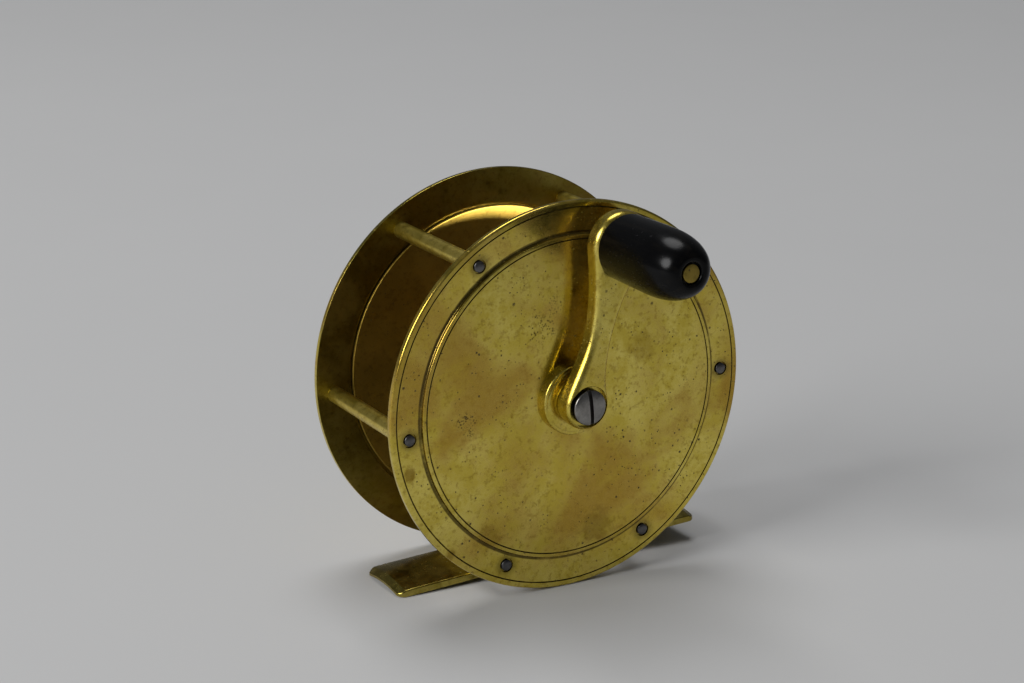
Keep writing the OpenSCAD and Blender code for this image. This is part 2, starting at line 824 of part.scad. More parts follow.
front_plate();
back_plate();
pillar(foot_pillar_angle);  // pillar_foot_right
pillar(-foot_pillar_angle);  // pillar_foot_left
pillar(side_pillar_angle);  // pillar_side_right
pillar(-side_pillar_angle);  // pillar_side_left
pillar(top_pillar_angle);  // pillar_top_right
pillar(-top_pillar_angle);  // pillar_top_left
front_pillar_screws();
back_pillar_screws();
foot();
saddle(1);  // saddle_right
saddle(-1);  // saddle_left
foot_screws();
front_bush();
back_bush();
check_guard_ring();
pawl_stud();
check_spring();
spring_post();
pawl();
spindle();
spool_arbor();
spool_front_flange();
spool_back_flange();
flange_rivets();
check_wheel();
crank_washer();
crank_arm();
crank_screw();
handle_pin();
handle_grip();
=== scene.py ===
"""Fly reel: the visible pieces, their finishes, the stage, the lights and the camera.

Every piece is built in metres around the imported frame. A turned piece is drawn in the axial
frame: x to the right, y up and z towards the crank, with z = 0 on the front plate's rim.
"""
import math

import bmesh
import bpy
from bpy.props import FloatProperty, FloatVectorProperty, IntProperty, PointerProperty
from mathutils import Matrix, Vector


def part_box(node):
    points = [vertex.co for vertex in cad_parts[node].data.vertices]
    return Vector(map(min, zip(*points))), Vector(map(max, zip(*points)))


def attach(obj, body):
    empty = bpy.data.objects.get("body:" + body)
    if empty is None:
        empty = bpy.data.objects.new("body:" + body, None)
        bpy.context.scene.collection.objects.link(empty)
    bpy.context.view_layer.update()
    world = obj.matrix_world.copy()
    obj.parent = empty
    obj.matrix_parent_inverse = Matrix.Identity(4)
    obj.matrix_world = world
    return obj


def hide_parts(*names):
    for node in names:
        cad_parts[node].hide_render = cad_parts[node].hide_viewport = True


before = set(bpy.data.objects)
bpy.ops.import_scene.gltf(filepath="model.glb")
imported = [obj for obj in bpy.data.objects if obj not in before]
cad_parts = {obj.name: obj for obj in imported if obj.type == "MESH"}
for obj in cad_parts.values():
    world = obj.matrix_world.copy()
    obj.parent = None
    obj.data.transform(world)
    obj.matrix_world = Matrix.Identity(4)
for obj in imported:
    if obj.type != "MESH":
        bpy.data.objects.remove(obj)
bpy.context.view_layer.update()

bl_info = {
    "name": "Fly Reel",
    "version": (1, 0, 0),
    "blender": (4, 5, 0),
    "location": "View3D > Sidebar > Fly Reel",
    "description": "Builds the visible pieces, finishes and stage of a brass fly reel",
    "category": "Object",
}

MM = 0.001

# Radii of the running parts that the frame's boxes don't hold.
SPINDLE_R = 2.5 * MM
SPIGOT_R = 4.6 * MM
BUSH_BORE_R = 1.86 * MM
PIN_R = 1.4 * MM
PIN_HEAD_R = 1.75 * MM
PIN_HEAD_T = 0.8 * MM
PIN_ROOM_R = 2.05 * MM
GRIP_BORE_R = 1.44 * MM
COUNTERBORE_R = 4.05 * MM
COUNTERBORE_DEPTH = 1.2 * MM
ARM_END_R = 6.5 * MM
WASHER_BORE_R = 1.6 * MM
SCREW_SHANK_R = 1.2 * MM
SCREW_DOME = 0.7 * MM
SLOT_TURN = math.radians(93)
GUARD_RING_T = 0.95 * MM
FOOT_EDGE_R = 0.32 * MM

# The grip: radius at its base, at its fullest and at its flat end, how far along it is
# fullest, the radius of its edge at the base, and the flare and depth of its end hole.
GRIP_BASE_R, GRIP_FULL_R, GRIP_FLAT_R = 6.3 * MM, 6.5 * MM, 2.8 * MM
GRIP_CROWN = 0.55
GRIP_EDGE_R = 0.3 * MM
GRIP_MOUTH_R = 0.55 * MM
GRIP_RECESS = 1.05 * MM

# Clusters of pits on a plate as x, y and size in millimetres, and blots with their strength too.
PLATE_PITS = ((-5.7, 14.3, 3.6), (-2.4, 19.0, 2.4), (-22.5, -0.5, 2.6))
PLATE_BLOTS = (
    (-34.6, -7.9, 1.7, 0.7), (4.4, -27.1, 4.5, 0.5), (-13.0, -1.0, 0.8, 0.8),
    (-27.0, -25.5, 1.5, 0.6), (16.0, 7.0, 4.0, 0.35), (-19.0, -24.0, 3.6, 0.35))

# The camera's line of sight and its upright, and where each light shines from.
VIEW_WAY = (0.4607, 0.8301, -0.3143)
VIEW_UP = (0.1890, 0.2542, 0.9485)
LEFT_WAY = (-0.857, -0.12, 0.5)
TOP_WAY = (0.117, 0.304, 0.946)
FRONT_WAY = (0.133, -0.947, 0.292)


# ---- Places taken from the frame ----

def span(node, axis):
    """Lowest and highest coordinate of a node along an axis (0, 1 or 2)."""
    low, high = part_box(node)
    return low[axis], high[axis]


def middle(node, axis):
    low, high = span(node, axis)
    return (low + high) / 2


def half_span(node, axis):
    low, high = span(node, axis)
    return (high - low) / 2


AXIS_Z = middle("spool_back_flange", 2)
PLATE_R = half_span("back_plate", 0)
# The pillars stand between the plates' inner faces, and the plates are one thickness further out.
PLATE_FRONT = span("pillar_top_left", 1)[0]
PLATE_BACK = span("pillar_top_left", 1)[1]
PILLAR_R = half_span("pillar_top_left", 0)
PILLARS = (
    "pillar_foot_right", "pillar_foot_left", "pillar_side_right",
    "pillar_side_left", "pillar_top_right", "pillar_top_left",
)
HANDLE_X = middle("handle_grip", 0)
HANDLE_Z = middle("handle_grip", 2)
CRANK_LEN = math.hypot(HANDLE_X, HANDLE_Z - AXIS_Z)
CRANK_ANGLE = math.atan2(HANDLE_Z - AXIS_Z, HANDLE_X)


# ---- Settings ----

def length(name, description, mm, low=0.05, high=120.0):
    """A length setting whose default is given in millimetres."""
    return FloatProperty(
        name=name, description=description, default=mm * MM, min=low * MM, max=high * MM,
        unit="LENGTH", precision=5)


def colour(name, description, value):
    return FloatVectorProperty(
        name=name, description=description, default=value, size=3, min=0.0, max=1.0,
        subtype="COLOR")


def share(name, description, value, high=1.0):
    return FloatProperty(
        name=name, description=description, default=value, min=0.0, max=high, subtype="FACTOR")


class ReelSizes(bpy.types.PropertyGroup):
    """Sizes of the reel's visible details, which the frame's boxes don't hold."""
    segments: IntProperty(
        name="Segments", description="Sides of a large turned piece", default=288, min=48, max=720)
    plate_t: length("Plate thickness", "Thickness of a plate at its rim", 1.2)
    rim_round: length("Rim rounding", "Radius of the round-over on the plate rims", 0.45)
    disc_r: length("Disc radius", "Radius of a plate's raised disc", 31.65)
    disc_rise: length("Disc rise", "How far the disc stands proud of the rim", 0.45)
    disc_lip: length("Disc lip", "Radius of the soft edge of the disc", 0.22)
    disc_cove: length("Disc step", "Width of the sloping step round the disc", 0.4)
    disc_t: length("Disc wall", "Wall thickness of the disc", 1.15)
    recess_r: length("Recess radius", "Radius of the recess behind the disc", 31.05)
    scribe_inset: length("Line inset", "Distance of each scribed line in from its edge", 0.8)
    scribe_w: length("Line width", "Width of the scribed lines", 0.26)
    scribe_depth: length("Line depth", "Depth of the scribed lines", 0.2)
    screw_head_r: length("Pillar screw head", "Radius of a pillar screw's domed head", 1.1)
    screw_gap: length("Pillar screw gap", "Gap round that head in its counterbore", 0.3)
    screw_dome: length("Pillar screw dome", "Height of the dome on that head", 0.35)
    screw_seat: length("Pillar screw seat", "Depth of the counterbore under the head", 0.6)
    bush_r: length("Bush radius", "Radius of a bush where it passes through its plate", 3.9)
    boss_r: length("Boss radius", "Radius of the crank arm's boss", 4.6)
    arm_round: length("Arm rounding", "Radius of the soft front edge of the crank arm", 1.5)
    arm_back_round: length("Arm back rounding", "Radius of the soft back edge of the arm", 0.2)
    slot_w: length("Slot width", "Width of the crank screw's slot", 0.8)
    slot_depth: length("Slot depth", "Depth of the crank screw's slot", 0.9)
    foot_t: length("Foot thickness", "Thickness of the foot", 1.3)
    foot_seat_r: length("Foot hollow", "Radius of the foot's hollow underside", 30.0)
    foot_corner_r: length("Foot corner", "Radius of the foot's corners in plan", 1.6)
    foot_bevel: length("Foot bevel", "Length of the bevel at each end of the foot", 1.7)
    foot_tip: length("Foot tip", "Thickness left at the tip of that bevel", 0.45)


class ReelFinish(bpy.types.PropertyGroup):
    """Colours and wear of the reel's finishes."""
    brass: colour("Clean brass", "Colour of rubbed, clean brass", (0.76, 0.63, 0.15))
    olive: colour("Olive patina", "Colour of brass under its thin patina", (0.58, 0.45, 0.065))
    amber: colour("Amber stain", "Colour of the brown stains on the brass", (0.42, 0.235, 0.022))
    # This umber also paints the shade in the disc's step and round the screws.
    spot_and_shade_umber: colour("Umber spot and shade", "Colour of the dark spots and pits", (0.060, 0.040, 0.012))
    # The spool's own duller brass, darkened further as painted shade for the dim inside of the reel.
    inner: colour("Inner brass with painted shade", "Colour of the sheltered brass of the spool", (0.36, 0.24, 0.04))
    rivet: colour("Rivet brass", "Colour of the handle pin's riveted end", (0.40, 0.29, 0.06))
    steel: colour("Worn steel", "Colour of the crank screw", (0.36, 0.35, 0.33))
    blued: colour("Blued steel", "Colour of the pillar screws", (0.22, 0.21, 0.20))
    horn: colour("Black horn", "Colour of the grip", (0.0016, 0.0016, 0.0018))
    stain: share("Stains", "How much of the brass is stained", 0.5)
    spots: share("Spots", "How strong the dark spots are", 0.9)
    scratches: share("Scratches", "How deep the fine scratches are", 0.5)


class ReelStage(bpy.types.PropertyGroup):
    """The floor, the lights and the camera."""
    lean: FloatProperty(
        name="Lean", description="How far the reel leans on the left end of its foot",
        default=math.radians(3.33), min=0.0, max=math.radians(10.0), unit="ROTATION")
    floor: colour("Floor", "Colour of the pale floor and backdrop", (0.60, 0.60, 0.60))
    lens: FloatProperty(
        name="Lens", description="Focal length of the camera in millimetres", default=84.9,
        min=20.0, max=200.0)
    camera_at: FloatVectorProperty(
        name="Camera", description="Place of the camera", default=(-0.2174, -0.3861, 0.1898),
        size=3, unit="LENGTH", precision=4)
    left_light: FloatProperty(
        name="Left light", description="Power of the large soft light on the left, in watts",
        default=28.0, min=0.0, max=200.0)
    top_light: FloatProperty(
        name="Top light", description="Power of the soft light overhead, in watts", default=16.0,
        min=0.0, max=200.0)
    front_light: FloatProperty(
        name="Front light", description="Power of the light in front of the crank, in watts",
        default=105.0, min=0.0, max=200.0)
    room: share("Room", "Brightness of the room around the stage", 0.09, 5.0)


# ---- Mesh helpers ----

def axial_matrix(x=0.0, z=0.0, turn=0.0):
    """The axial frame moved by x and z in the row frame and turned about the spindle's line."""
    front = PLATE_FRONT - bpy.context.scene.reel_sizes.plate_t
    return (Matrix.Translation((x, front, AXIS_Z + z)) @ Matrix.Rotation(math.radians(90), 4, "X")
            @ Matrix.Rotation(turn, 4, "Z"))


def depth(y):
    """Depth behind the front rim's face of a row coordinate y."""
    return y - PLATE_FRONT + bpy.context.scene.reel_sizes.plate_t


def arc(cx, cy, r, start, end, steps):
    """Points of an arc in degrees, both ends included."""
    points = []
    for i in range(steps + 1):
        a = math.radians(start + (end - start) * i / steps)
        points.append((cx + r * math.cos(a), cy + r * math.sin(a)))
    return points


def lathe(bm, profile, segments, centre=(0.0, 0.0), closed=True):
    """Turns a profile of (radius, z) points about the z axis at a centre. A closed profile
    meets itself, and a point on the axis becomes one vertex."""
    rings = []
    for r, z in profile:
        if r < 1e-7:
            rings.append([bm.verts.new((centre[0], centre[1], z))])
            continue
        ring = []
        for i in range(segments):
            a = 2 * math.pi * i / segments
            ring.append(bm.verts.new((centre[0] + r * math.cos(a), centre[1] + r * math.sin(a), z)))
        rings.append(ring)
    pairs = list(zip(rings, rings[1:]))
    if closed and len(rings[0]) > 1 and len(rings[-1]) > 1:
        pairs.append((rings[-1], rings[0]))
    for a, b in pairs:
        for i in range(segments):
            j = (i + 1) % segments
            corners = [a[i % len(a)], a[j % len(a)], b[j % len(b)], b[i % len(b)]]
            face = [v for k, v in enumerate(corners) if v not in corners[:k]]
            if len(face) > 2:
                bm.faces.new(face)


def skin(bm, loops):
    """Joins loops of equal length into one closed surface, with a face at each end."""
    rings = [[bm.verts.new(p) for p in loop] for loop in loops]
    count = len(rings[0])
    for a, b in zip(rings, rings[1:]):
        for i in range(count):
            j = (i + 1) % count
            bm.faces.new((a[i], a[j], b[j], b[i]))
    bm.faces.new(rings[0])
    bm.faces.new(rings[-1])


def finish_mesh(name, bm, matrix=None):
    """Makes an object of a bmesh, with its faces turned outwards."""
    bmesh.ops.recalc_face_normals(bm, faces=bm.faces)
    mesh = bpy.data.meshes.new(name)
    bm.to_mesh(mesh)
    bm.free()
    obj = bpy.data.objects.new(name, mesh)
    bpy.context.scene.collection.objects.link(obj)
    if matrix is not None:
        obj.matrix_world = matrix
    return obj


def turned(name, profile, segments=None, matrix=None, closed=True):
    """A turned piece in the axial frame."""
    bm = bmesh.new()
    lathe(bm, profile, segments or bpy.context.scene.reel_sizes.segments, closed=closed)
    return finish_mesh(name, bm, matrix or axial_matrix())


def smooth(obj, angle=32.0):
    """Smooth shading that keeps flats flat and edges above an angle crisp."""
    mesh = obj.data
    mesh.shade_smooth()
    mesh.set_sharp_from_angle(angle=math.radians(angle))
    weights = obj.modifiers.new("Flat faces", "WEIGHTED_NORMAL")
    weights.keep_sharp = True
    weights.weight = 80


def cut(obj, cutters):
    """Cuts solids out of a piece and applies the result."""
    for cutter in cutters:
        tool = obj.modifiers.new("Cut", "BOOLEAN")
        tool.operation = "DIFFERENCE"
        tool.solver = "EXACT"
        tool.object = cutter
    bpy.context.view_layer.update()
    graph = bpy.context.evaluated_depsgraph_get()
    mesh = bpy.data.meshes.new_from_object(obj.evaluated_get(graph))
    if len(mesh.polygons) <= 6:
        raise RuntimeError(f"{obj.name}: the cut left nothing")
    obj.modifiers.clear()
    old = obj.data
    obj.data = mesh
    mesh.name = obj.name
    bpy.data.meshes.remove(old)
    for cutter in cutters:
        bpy.data.objects.remove(cutter)


def bevel(obj, width, segments=3, angle=35.0):
    """A worn edge on every corner sharper than an angle."""
    edge = obj.modifiers.new("Worn edges", "BEVEL")
    edge.width = width
    edge.segments = segments
    edge.limit_method = "ANGLE"
    edge.angle_limit = math.radians(angle)
    edge.use_clamp_overlap = True


def place(obj, body, nodes, material):
    """Gives a piece its finish, its body and the nodes it stands for."""
    obj.data.materials.clear()
    obj.data.materials.append(material)
    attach(obj, body)
    if nodes:
        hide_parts(*nodes)


# ---- Shader groups ----

def socket(tree, name, kind, direction, default=None):
    item = tree.interface.new_socket(name=name, in_out=direction, socket_type=kind)
    if default is not None:
        item.default_value = default
    return item


class Graph:
    """Short names for adding and joining nodes in one tree."""

    def __init__(self, tree):
        self.tree = tree

    def add(self, kind, **values):
        node = self.tree.nodes.new(kind)
        for key, value in values.items():
            setattr(node, key, value)
        return node

    def put(self, socket_in, value):
        if isinstance(value, bpy.types.NodeSocket):
            self.tree.links.new(value, socket_in)
        else:
            socket_in.default_value = value

    def math(self, operation, a, b=0.0, clamp=False):
        node = self.add("ShaderNodeMath", operation=operation, use_clamp=clamp)
        self.put(node.inputs[0], a)
        self.put(node.inputs[1], b)
        return node.outputs[0]

    def noise(self, vector, scale, detail=3.0, rough=0.5, warp=0.0):
        node = self.add("ShaderNodeTexNoise")
        self.put(node.inputs["Vector"], vector)
        self.put(node.inputs["Scale"], scale)
        node.inputs["Detail"].default_value = detail
        node.inputs["Roughness"].default_value = rough
        node.inputs["Distortion"].default_value = warp
        return node.outputs["Fac"]

    def cells(self, vector, scale, feature="F1", jitter=1.0):
        node = self.add("ShaderNodeTexVoronoi", feature=feature)
        self.put(node.inputs["Vector"], vector)
        self.put(node.inputs["Scale"], scale)
        node.inputs["Randomness"].default_value = jitter
        return node

    def ramp(self, value, low, high, to_low=0.0, to_high=1.0):
        node = self.add("ShaderNodeMapRange", interpolation_type="SMOOTHSTEP")
        self.put(node.inputs["Value"], value)
        node.inputs["From Min"].default_value = low
        node.inputs["From Max"].default_value = high
        node.inputs["To Min"].default_value = to_low
        node.inputs["To Max"].default_value = to_high
        return node.outputs[0]

    def blend(self, amount, a, b, mode="MIX"):
        node = self.add("ShaderNodeMix", data_type="RGBA", blend_type=mode)
        self.put(node.inputs["Factor"], amount)
        for name, value in (("A", a), ("B", b)):
            target = [s for s in node.inputs if s.name == name and s.type == "RGBA"][0]
            if isinstance(value, bpy.types.NodeSocket):
                self.tree.links.new(value, target)
            else:
                target.default_value = (*value, 1.0)
        return [s for s in node.outputs if s.type == "RGBA"][0]

    def stretch(self, vector, size, turn=0.0):
        node = self.add("ShaderNodeMapping")
        self.put(node.inputs["Vector"], vector)
        node.inputs["Scale"].default_value = size
        node.inputs["Rotation"].default_value = (0.0, 0.0, turn)
        return node.outputs[0]

    def bump(self, height, strength, distance, normal=None):
        node = self.add("ShaderNodeBump")
        self.put(node.inputs["Height"], height)
        node.inputs["Strength"].default_value = strength
        node.inputs["Distance"].default_value = distance
        if normal is not None:
            self.put(node.inputs["Normal"], normal)
        return node.outputs[0]


def new_group(name, inputs, outputs):
    """A shader group with its sockets made. Returns its graph and its two end nodes."""
    tree = bpy.data.node_groups.new(name, "ShaderNodeTree")
    for label, kind, default in inputs:
        socket(tree, label, kind, "INPUT", default)
    for label, kind in outputs:
        socket(tree, label, kind, "OUTPUT")
    graph = Graph(tree)
    return graph, graph.add("NodeGroupInput"), graph.add("NodeGroupOutput")


FLOAT = "NodeSocketFloat"
VECTOR = "NodeSocketVector"


def build_patina_group():
    """Cloudy patina, brown stains with drawn edges, and small dark spots in loose clusters."""
    g, start, end = new_group(
        "Brass patina",
        [("Vector", VECTOR, None), ("Stain", FLOAT, 0.5), ("Spots", FLOAT, 0.5)],
        [("Cloud", FLOAT), ("Stain", FLOAT), ("Spots", FLOAT), ("Grain", FLOAT)])
    vector = start.outputs["Vector"]
    cloud = g.noise(vector, 110.0, 5.0, 0.6, 0.5)
    broad = g.noise(vector, 38.0, 3.0, 0.55, 0.8)
    grain = g.noise(vector, 420.0, 4.0, 0.65)
    fine = g.noise(vector, 1500.0, 3.0, 0.7)
    grain_mix = g.math("ADD", g.math("MULTIPLY", grain, 0.6), g.math("MULTIPLY", fine, 0.4))
    mottle = g.math("ADD", g.math("MULTIPLY", cloud, 0.5), g.math("MULTIPLY", grain_mix, 0.5))
    g.put(end.inputs["Cloud"], g.ramp(mottle, 0.40, 0.62))
    patch = g.math("ADD", g.math("MULTIPLY", broad, 0.6), g.math("MULTIPLY", mottle, 0.4))
    stain = g.math("MULTIPLY", g.ramp(patch, 0.44, 0.60), start.outputs["Stain"])
    g.put(end.inputs["Stain"], stain)
    # Spots: round pits whose size and presence change from cell to cell.
    spots = 0.0
    for scale, low, high, keep in (
            (130.0, 0.06, 0.11, 0.74), (260.0, 0.11, 0.20, 0.66),
            (620.0, 0.15, 0.27, 0.52), (1300.0, 0.18, 0.34, 0.50)):
        cell = g.cells(vector, scale)
        lump = g.noise(vector, scale * 2.6, 2.0)
        edge = g.math("ADD", cell.outputs["Distance"], g.math("MULTIPLY", lump, 0.16))
        dot = g.ramp(edge, low, high, 1.0, 0.0)
        pick = g.add("ShaderNodeSeparateColor")
        g.put(pick.inputs[0], cell.outputs["Color"])
        chosen = g.ramp(pick.outputs[0], keep, keep + 0.16)
        where = g.ramp(g.noise(vector, 85.0 + scale * 0.05, 2.0), 0.44, 0.60)
        dot = g.math("MULTIPLY", dot, g.math("MULTIPLY", chosen, where))
        spots = g.math("MAXIMUM", spots, dot)
    g.put(end.inputs["Spots"], g.math("MULTIPLY", spots, start.outputs["Spots"]))
    g.put(end.inputs["Grain"], grain)
    return g.tree


def build_scratch_group():
    """Fine handling scratches in three directions, as a height that is 0 in a scratch."""
    g, start, end = new_group(
        "Fine scratches",
        [("Vector", VECTOR, None), ("Depth", FLOAT, 0.5)],
        [("Height", FLOAT), ("Mask", FLOAT)])
    vector = start.outputs["Vector"]
    total = 0.0
    for turn, along, across in ((0.35, 38.0, 2600.0), (-0.9, 52.0, 3300.0), (1.7, 30.0, 2200.0)):
        line = g.noise(g.stretch(vector, (along, across, across * 0.5), turn), 1.0, 2.0, 0.5, 0.15)
        where = g.ramp(g.noise(vector, 95.0 + turn * 20.0, 1.0), 0.48, 0.62)
        mark = g.math("MULTIPLY", g.ramp(line, 0.66, 0.74), where)
        total = g.math("MAXIMUM", total, mark)
    mask = g.math("MULTIPLY", total, start.outputs["Depth"])
    g.put(end.inputs["Mask"], mask)
    g.put(end.inputs["Height"], g.math("SUBTRACT", 1.0, mask))
    return g.tree


def build_edge_group():
    """A mask of worn, outward edges, broken up by grain."""
    g, start, end = new_group(
        "Edge wear", [("Radius", FLOAT, 0.0004), ("Grain", FLOAT, 0.5)],
        [("Worn", FLOAT)])
    soft = g.add("ShaderNodeBevel", samples=4)
    g.put(soft.inputs["Radius"], start.outputs["Radius"])
    plain = g.add("ShaderNodeNewGeometry")
    dot = g.add("ShaderNodeVectorMath", operation="DOT_PRODUCT")
    g.put(dot.inputs[0], soft.outputs[0])
    g.put(dot.inputs[1], plain.outputs["Normal"])
    edge = g.ramp(dot.outputs["Value"], 0.72, 0.985, 1.0, 0.0)
    worn = g.math("MULTIPLY", edge, g.ramp(start.outputs["Grain"], 0.3, 0.6))
    g.put(end.inputs["Worn"], worn)
    return g.tree


def build_turning_group():
    """Rings left by the lathe about the z axis of the piece."""
    g, start, end = new_group(
        "Turning marks", [("Vector", VECTOR, None), ("Pitch", FLOAT, 3000.0)], [("Height", FLOAT)])
    parts = g.add("ShaderNodeSeparateXYZ")
    g.put(parts.inputs[0], start.outputs["Vector"])
    x, y, z = parts.outputs
    radius = g.math("SQRT", g.math("ADD", g.math("MULTIPLY", x, x), g.math("MULTIPLY", y, y)))
    ring = g.add("ShaderNodeTexNoise", noise_dimensions="1D")
    g.put(ring.inputs["W"], g.math("ADD", radius, g.math("MULTIPLY", z, 0.9)))
    g.put(ring.inputs["Scale"], start.outputs["Pitch"])
    ring.inputs["Detail"].default_value = 3.0
    g.put(end.inputs["Height"], ring.outputs["Fac"])
    return g.tree


def build_dark_lines_and_shade_group():
    """Darkening in two scribed lines, and painted shade in the step of the disc and round three
    pairs of screws.

    The rings are about the z axis, and the screws are mirrored from +x to -x.
    """
    names = ("Line A", "Line B", "Step")
    spots = ("Screw A", "Screw B", "Screw C")
    g, start, end = new_group(
        "Dark lines and painted shade",
        [("Vector", VECTOR, None), ("Width", FLOAT, 0.0002)] + [(n, FLOAT, 0.03) for n in names]
        + [(n, VECTOR, None) for n in spots],
        [("Rings", FLOAT), ("Halo", FLOAT)])
    vector = start.outputs["Vector"]
    parts = g.add("ShaderNodeSeparateXYZ")
    g.put(parts.inputs[0], vector)
    x, y = parts.outputs[:2]
    radius = g.math("SQRT", g.math("ADD", g.math("MULTIPLY", x, x), g.math("MULTIPLY", y, y)))
    broken = g.noise(vector, 240.0, 3.0, 0.6)
    rings = 0.0
    for name in names:
        off = g.math("ABSOLUTE", g.math("SUBTRACT", radius, start.outputs[name]))
        if name == "Step":
            off = g.math("MULTIPLY", off, 0.45)
        near = g.math("SUBTRACT", 1.0, g.math("DIVIDE", off, start.outputs["Width"]), clamp=True)
        rings = g.math("MAXIMUM", rings, near)
    rings = g.ramp(rings, 0.05, 0.6)
    g.put(end.inputs["Rings"], g.math("MULTIPLY", rings, g.ramp(broken, 0.25, 0.5, 0.45, 1.0)))
    flat = g.add("ShaderNodeCombineXYZ")
    g.put(flat.inputs[0], g.math("ABSOLUTE", x))
    g.put(flat.inputs[1], y)
    screw_shade = 0.0
    for name in spots:
        away = g.add("ShaderNodeVectorMath", operation="DISTANCE")
        g.put(away.inputs[0], flat.outputs[0])
        g.put(away.inputs[1], start.outputs[name])
        rough = g.math("ADD", away.outputs["Value"], g.math("MULTIPLY", broken, 0.0016))
        screw_shade = g.math("MAXIMUM", screw_shade, g.ramp(rough, 0.0017, 0.0038, 1.0, 0.0))
    g.put(end.inputs["Halo"], screw_shade)
    return g.tree


def build_mark_group():
    """One mark left on the brass: a blot of a given size with a ragged edge, and a cluster of
    fine pits that fills it."""
    g, start, end = new_group(
        "Local mark", [("Vector", VECTOR, None), ("Centre", VECTOR, None), ("Size", FLOAT, 0.002)],
        [("Blot", FLOAT), ("Pits", FLOAT)])
    vector = start.outputs["Vector"]
    away = g.add("ShaderNodeVectorMath", operation="DISTANCE")
    g.put(away.inputs[0], vector)
    g.put(away.inputs[1], start.outputs["Centre"])
    share_out = g.math("DIVIDE", away.outputs["Value"], start.outputs["Size"])
    rag = g.math("SUBTRACT", g.noise(vector, 520.0, 4.0, 0.65), 0.5)
    edge = g.math("ADD", share_out, g.math("MULTIPLY", rag, 1.6))
    blot = g.ramp(edge, 0.45, 1.0, 1.0, 0.0)
    g.put(end.inputs["Blot"], blot)
    fine = g.cells(vector, 2300.0).outputs["Distance"]
    lump = g.math("ADD", fine, g.math("MULTIPLY", rag, 0.8))
    g.put(end.inputs["Pits"], g.math("MULTIPLY", g.ramp(lump, 0.25, 0.42, 1.0, 0.0), blot))
    return g.tree


# ---- Finishes ----

class Finish:
    """One material under construction: its graph, its shader and the object coordinates."""

    def __init__(self, name, colour=(0.5, 0.5, 0.5), roughness=0.4, metallic=0.0):
        self.material = bpy.data.materials.new(name)
        self.material.use_nodes = True
        self.g = Graph(self.material.node_tree)
        self.shader = self.material.node_tree.nodes["Principled BSDF"]
        self.shader.inputs["Base Color"].default_value = (*colour, 1.0)
        self.shader.inputs["Roughness"].default_value = roughness
        self.shader.inputs["Metallic"].default_value = metallic
        self.material.diffuse_color = (*colour, 1.0)
        self.place = self.g.add("ShaderNodeTexCoord").outputs["Object"]

    def group(self, tree, **values):
        node = self.g.add("ShaderNodeGroup", node_tree=tree)
        for key, value in values.items():
            self.g.put(node.inputs[key], value)
        return node.outputs

    def set(self, name, value):
        self.g.put(self.shader.inputs[name], value)


def brass(name, groups, clean, film, stain_colour, stain, spots, rough, wear, dull=0.75,
          waviness=0.02, scratches=0.5, turning=0.0, pitch=3000.0, dirt=None, pits=(),
          blots=()):
    """Brass under a thin film: mottled, stained and spotted, and rubbed bright on its edges.

    rough is the roughness of the clean metal, and dull the share of metal left in a stain.
    """
    f = Finish(name, film, rough, 1.0)
    g = f.g
    looks = bpy.context.scene.reel_finish
    patina = f.group(groups["patina"], Vector=f.place, Stain=stain, Spots=spots)
    marks = f.group(groups["scratches"], Vector=f.place, Depth=scratches)
    edges = f.group(groups["edges"], Radius=wear, Grain=patina["Grain"])
    # The clean metal shows through the film in clouds, and more along the worn edges.
    tone = g.blend(patina["Cloud"], film, clean)
    tone = g.blend(g.ramp(g.noise(f.place, 900.0, 3.0, 0.7), 0.5, 0.68, 0.0, 0.4), tone,
                   tuple(c * 0.45 for c in stain_colour))
    tone = g.blend(g.math("MULTIPLY", patina["Stain"], 0.85), tone, stain_colour)
    tone = g.blend(g.math("MULTIPLY", marks["Mask"], 0.35), tone, clean)
    tone = g.blend(g.math("MULTIPLY", edges["Worn"], 0.7), tone, clean)
    tone = g.blend(patina["Spots"], tone, tuple(looks.spot_and_shade_umber))
    for x, y, size in pits:
        mark = f.group(groups["mark"], Vector=f.place, Centre=(x, y, 0.0), Size=size)
        tone = g.blend(g.math("MULTIPLY", mark["Pits"], 0.8), tone, tuple(looks.spot_and_shade_umber))
    for x, y, size, depth_of in blots:
        mark = f.group(groups["mark"], Vector=f.place, Centre=(x, y, 0.0), Size=size)
        tone = g.blend(g.math("MULTIPLY", mark["Blot"], depth_of), tone,
                       tuple(c * 0.55 for c in stain_colour))
    # Darkening in the scribed lines, and painted shade in the disc's step and round the screws.
    if dirt:
        lines_and_shade = f.group(groups["dirt"], Vector=f.place, **dirt)
        tone = g.blend(g.math("MULTIPLY", lines_and_shade["Halo"], 0.6), tone, tuple(looks.spot_and_shade_umber))
        tone = g.blend(g.math("MULTIPLY", lines_and_shade["Rings"], 0.85), tone, tuple(looks.spot_and_shade_umber))
    f.set("Base Color", tone)
    soft = g.math("ADD", rough, g.math("MULTIPLY", patina["Stain"], 0.12))
    soft = g.math("ADD", soft, g.math("MULTIPLY", patina["Grain"], 0.07))
    soft = g.math("ADD", soft, g.math("MULTIPLY", patina["Spots"], 0.4))
    rubbed = g.math("MULTIPLY", edges["Worn"], 0.06)
    f.set("Roughness", g.math("SUBTRACT", soft, rubbed, clamp=True))
    loss = g.math("ADD", g.math("MULTIPLY", patina["Stain"], 1.0 - dull),
                  g.math("MULTIPLY", patina["Spots"], 0.8))
    f.set("Metallic", g.math("SUBTRACT", 1.0, loss, clamp=True))
    # Heights: broad unevenness of the sheet, fine grain, scratches, pits and turning marks.
    normal = g.bump(g.noise(f.place, 95.0, 2.0), waviness, 0.001)
    normal = g.bump(patina["Grain"], 0.06, 0.0001, normal)
    normal = g.bump(marks["Height"], 0.25, 0.00003, normal)
    if turning > 0.0:
        rings = f.group(groups["turning"], Vector=f.place, Pitch=pitch)
        normal = g.bump(rings["Height"], turning, 0.00004, normal)
    normal = g.bump(g.math("SUBTRACT", 1.0, patina["Spots"]), 0.35, 0.00006, normal)
    f.set("Normal", normal)
    return f.material


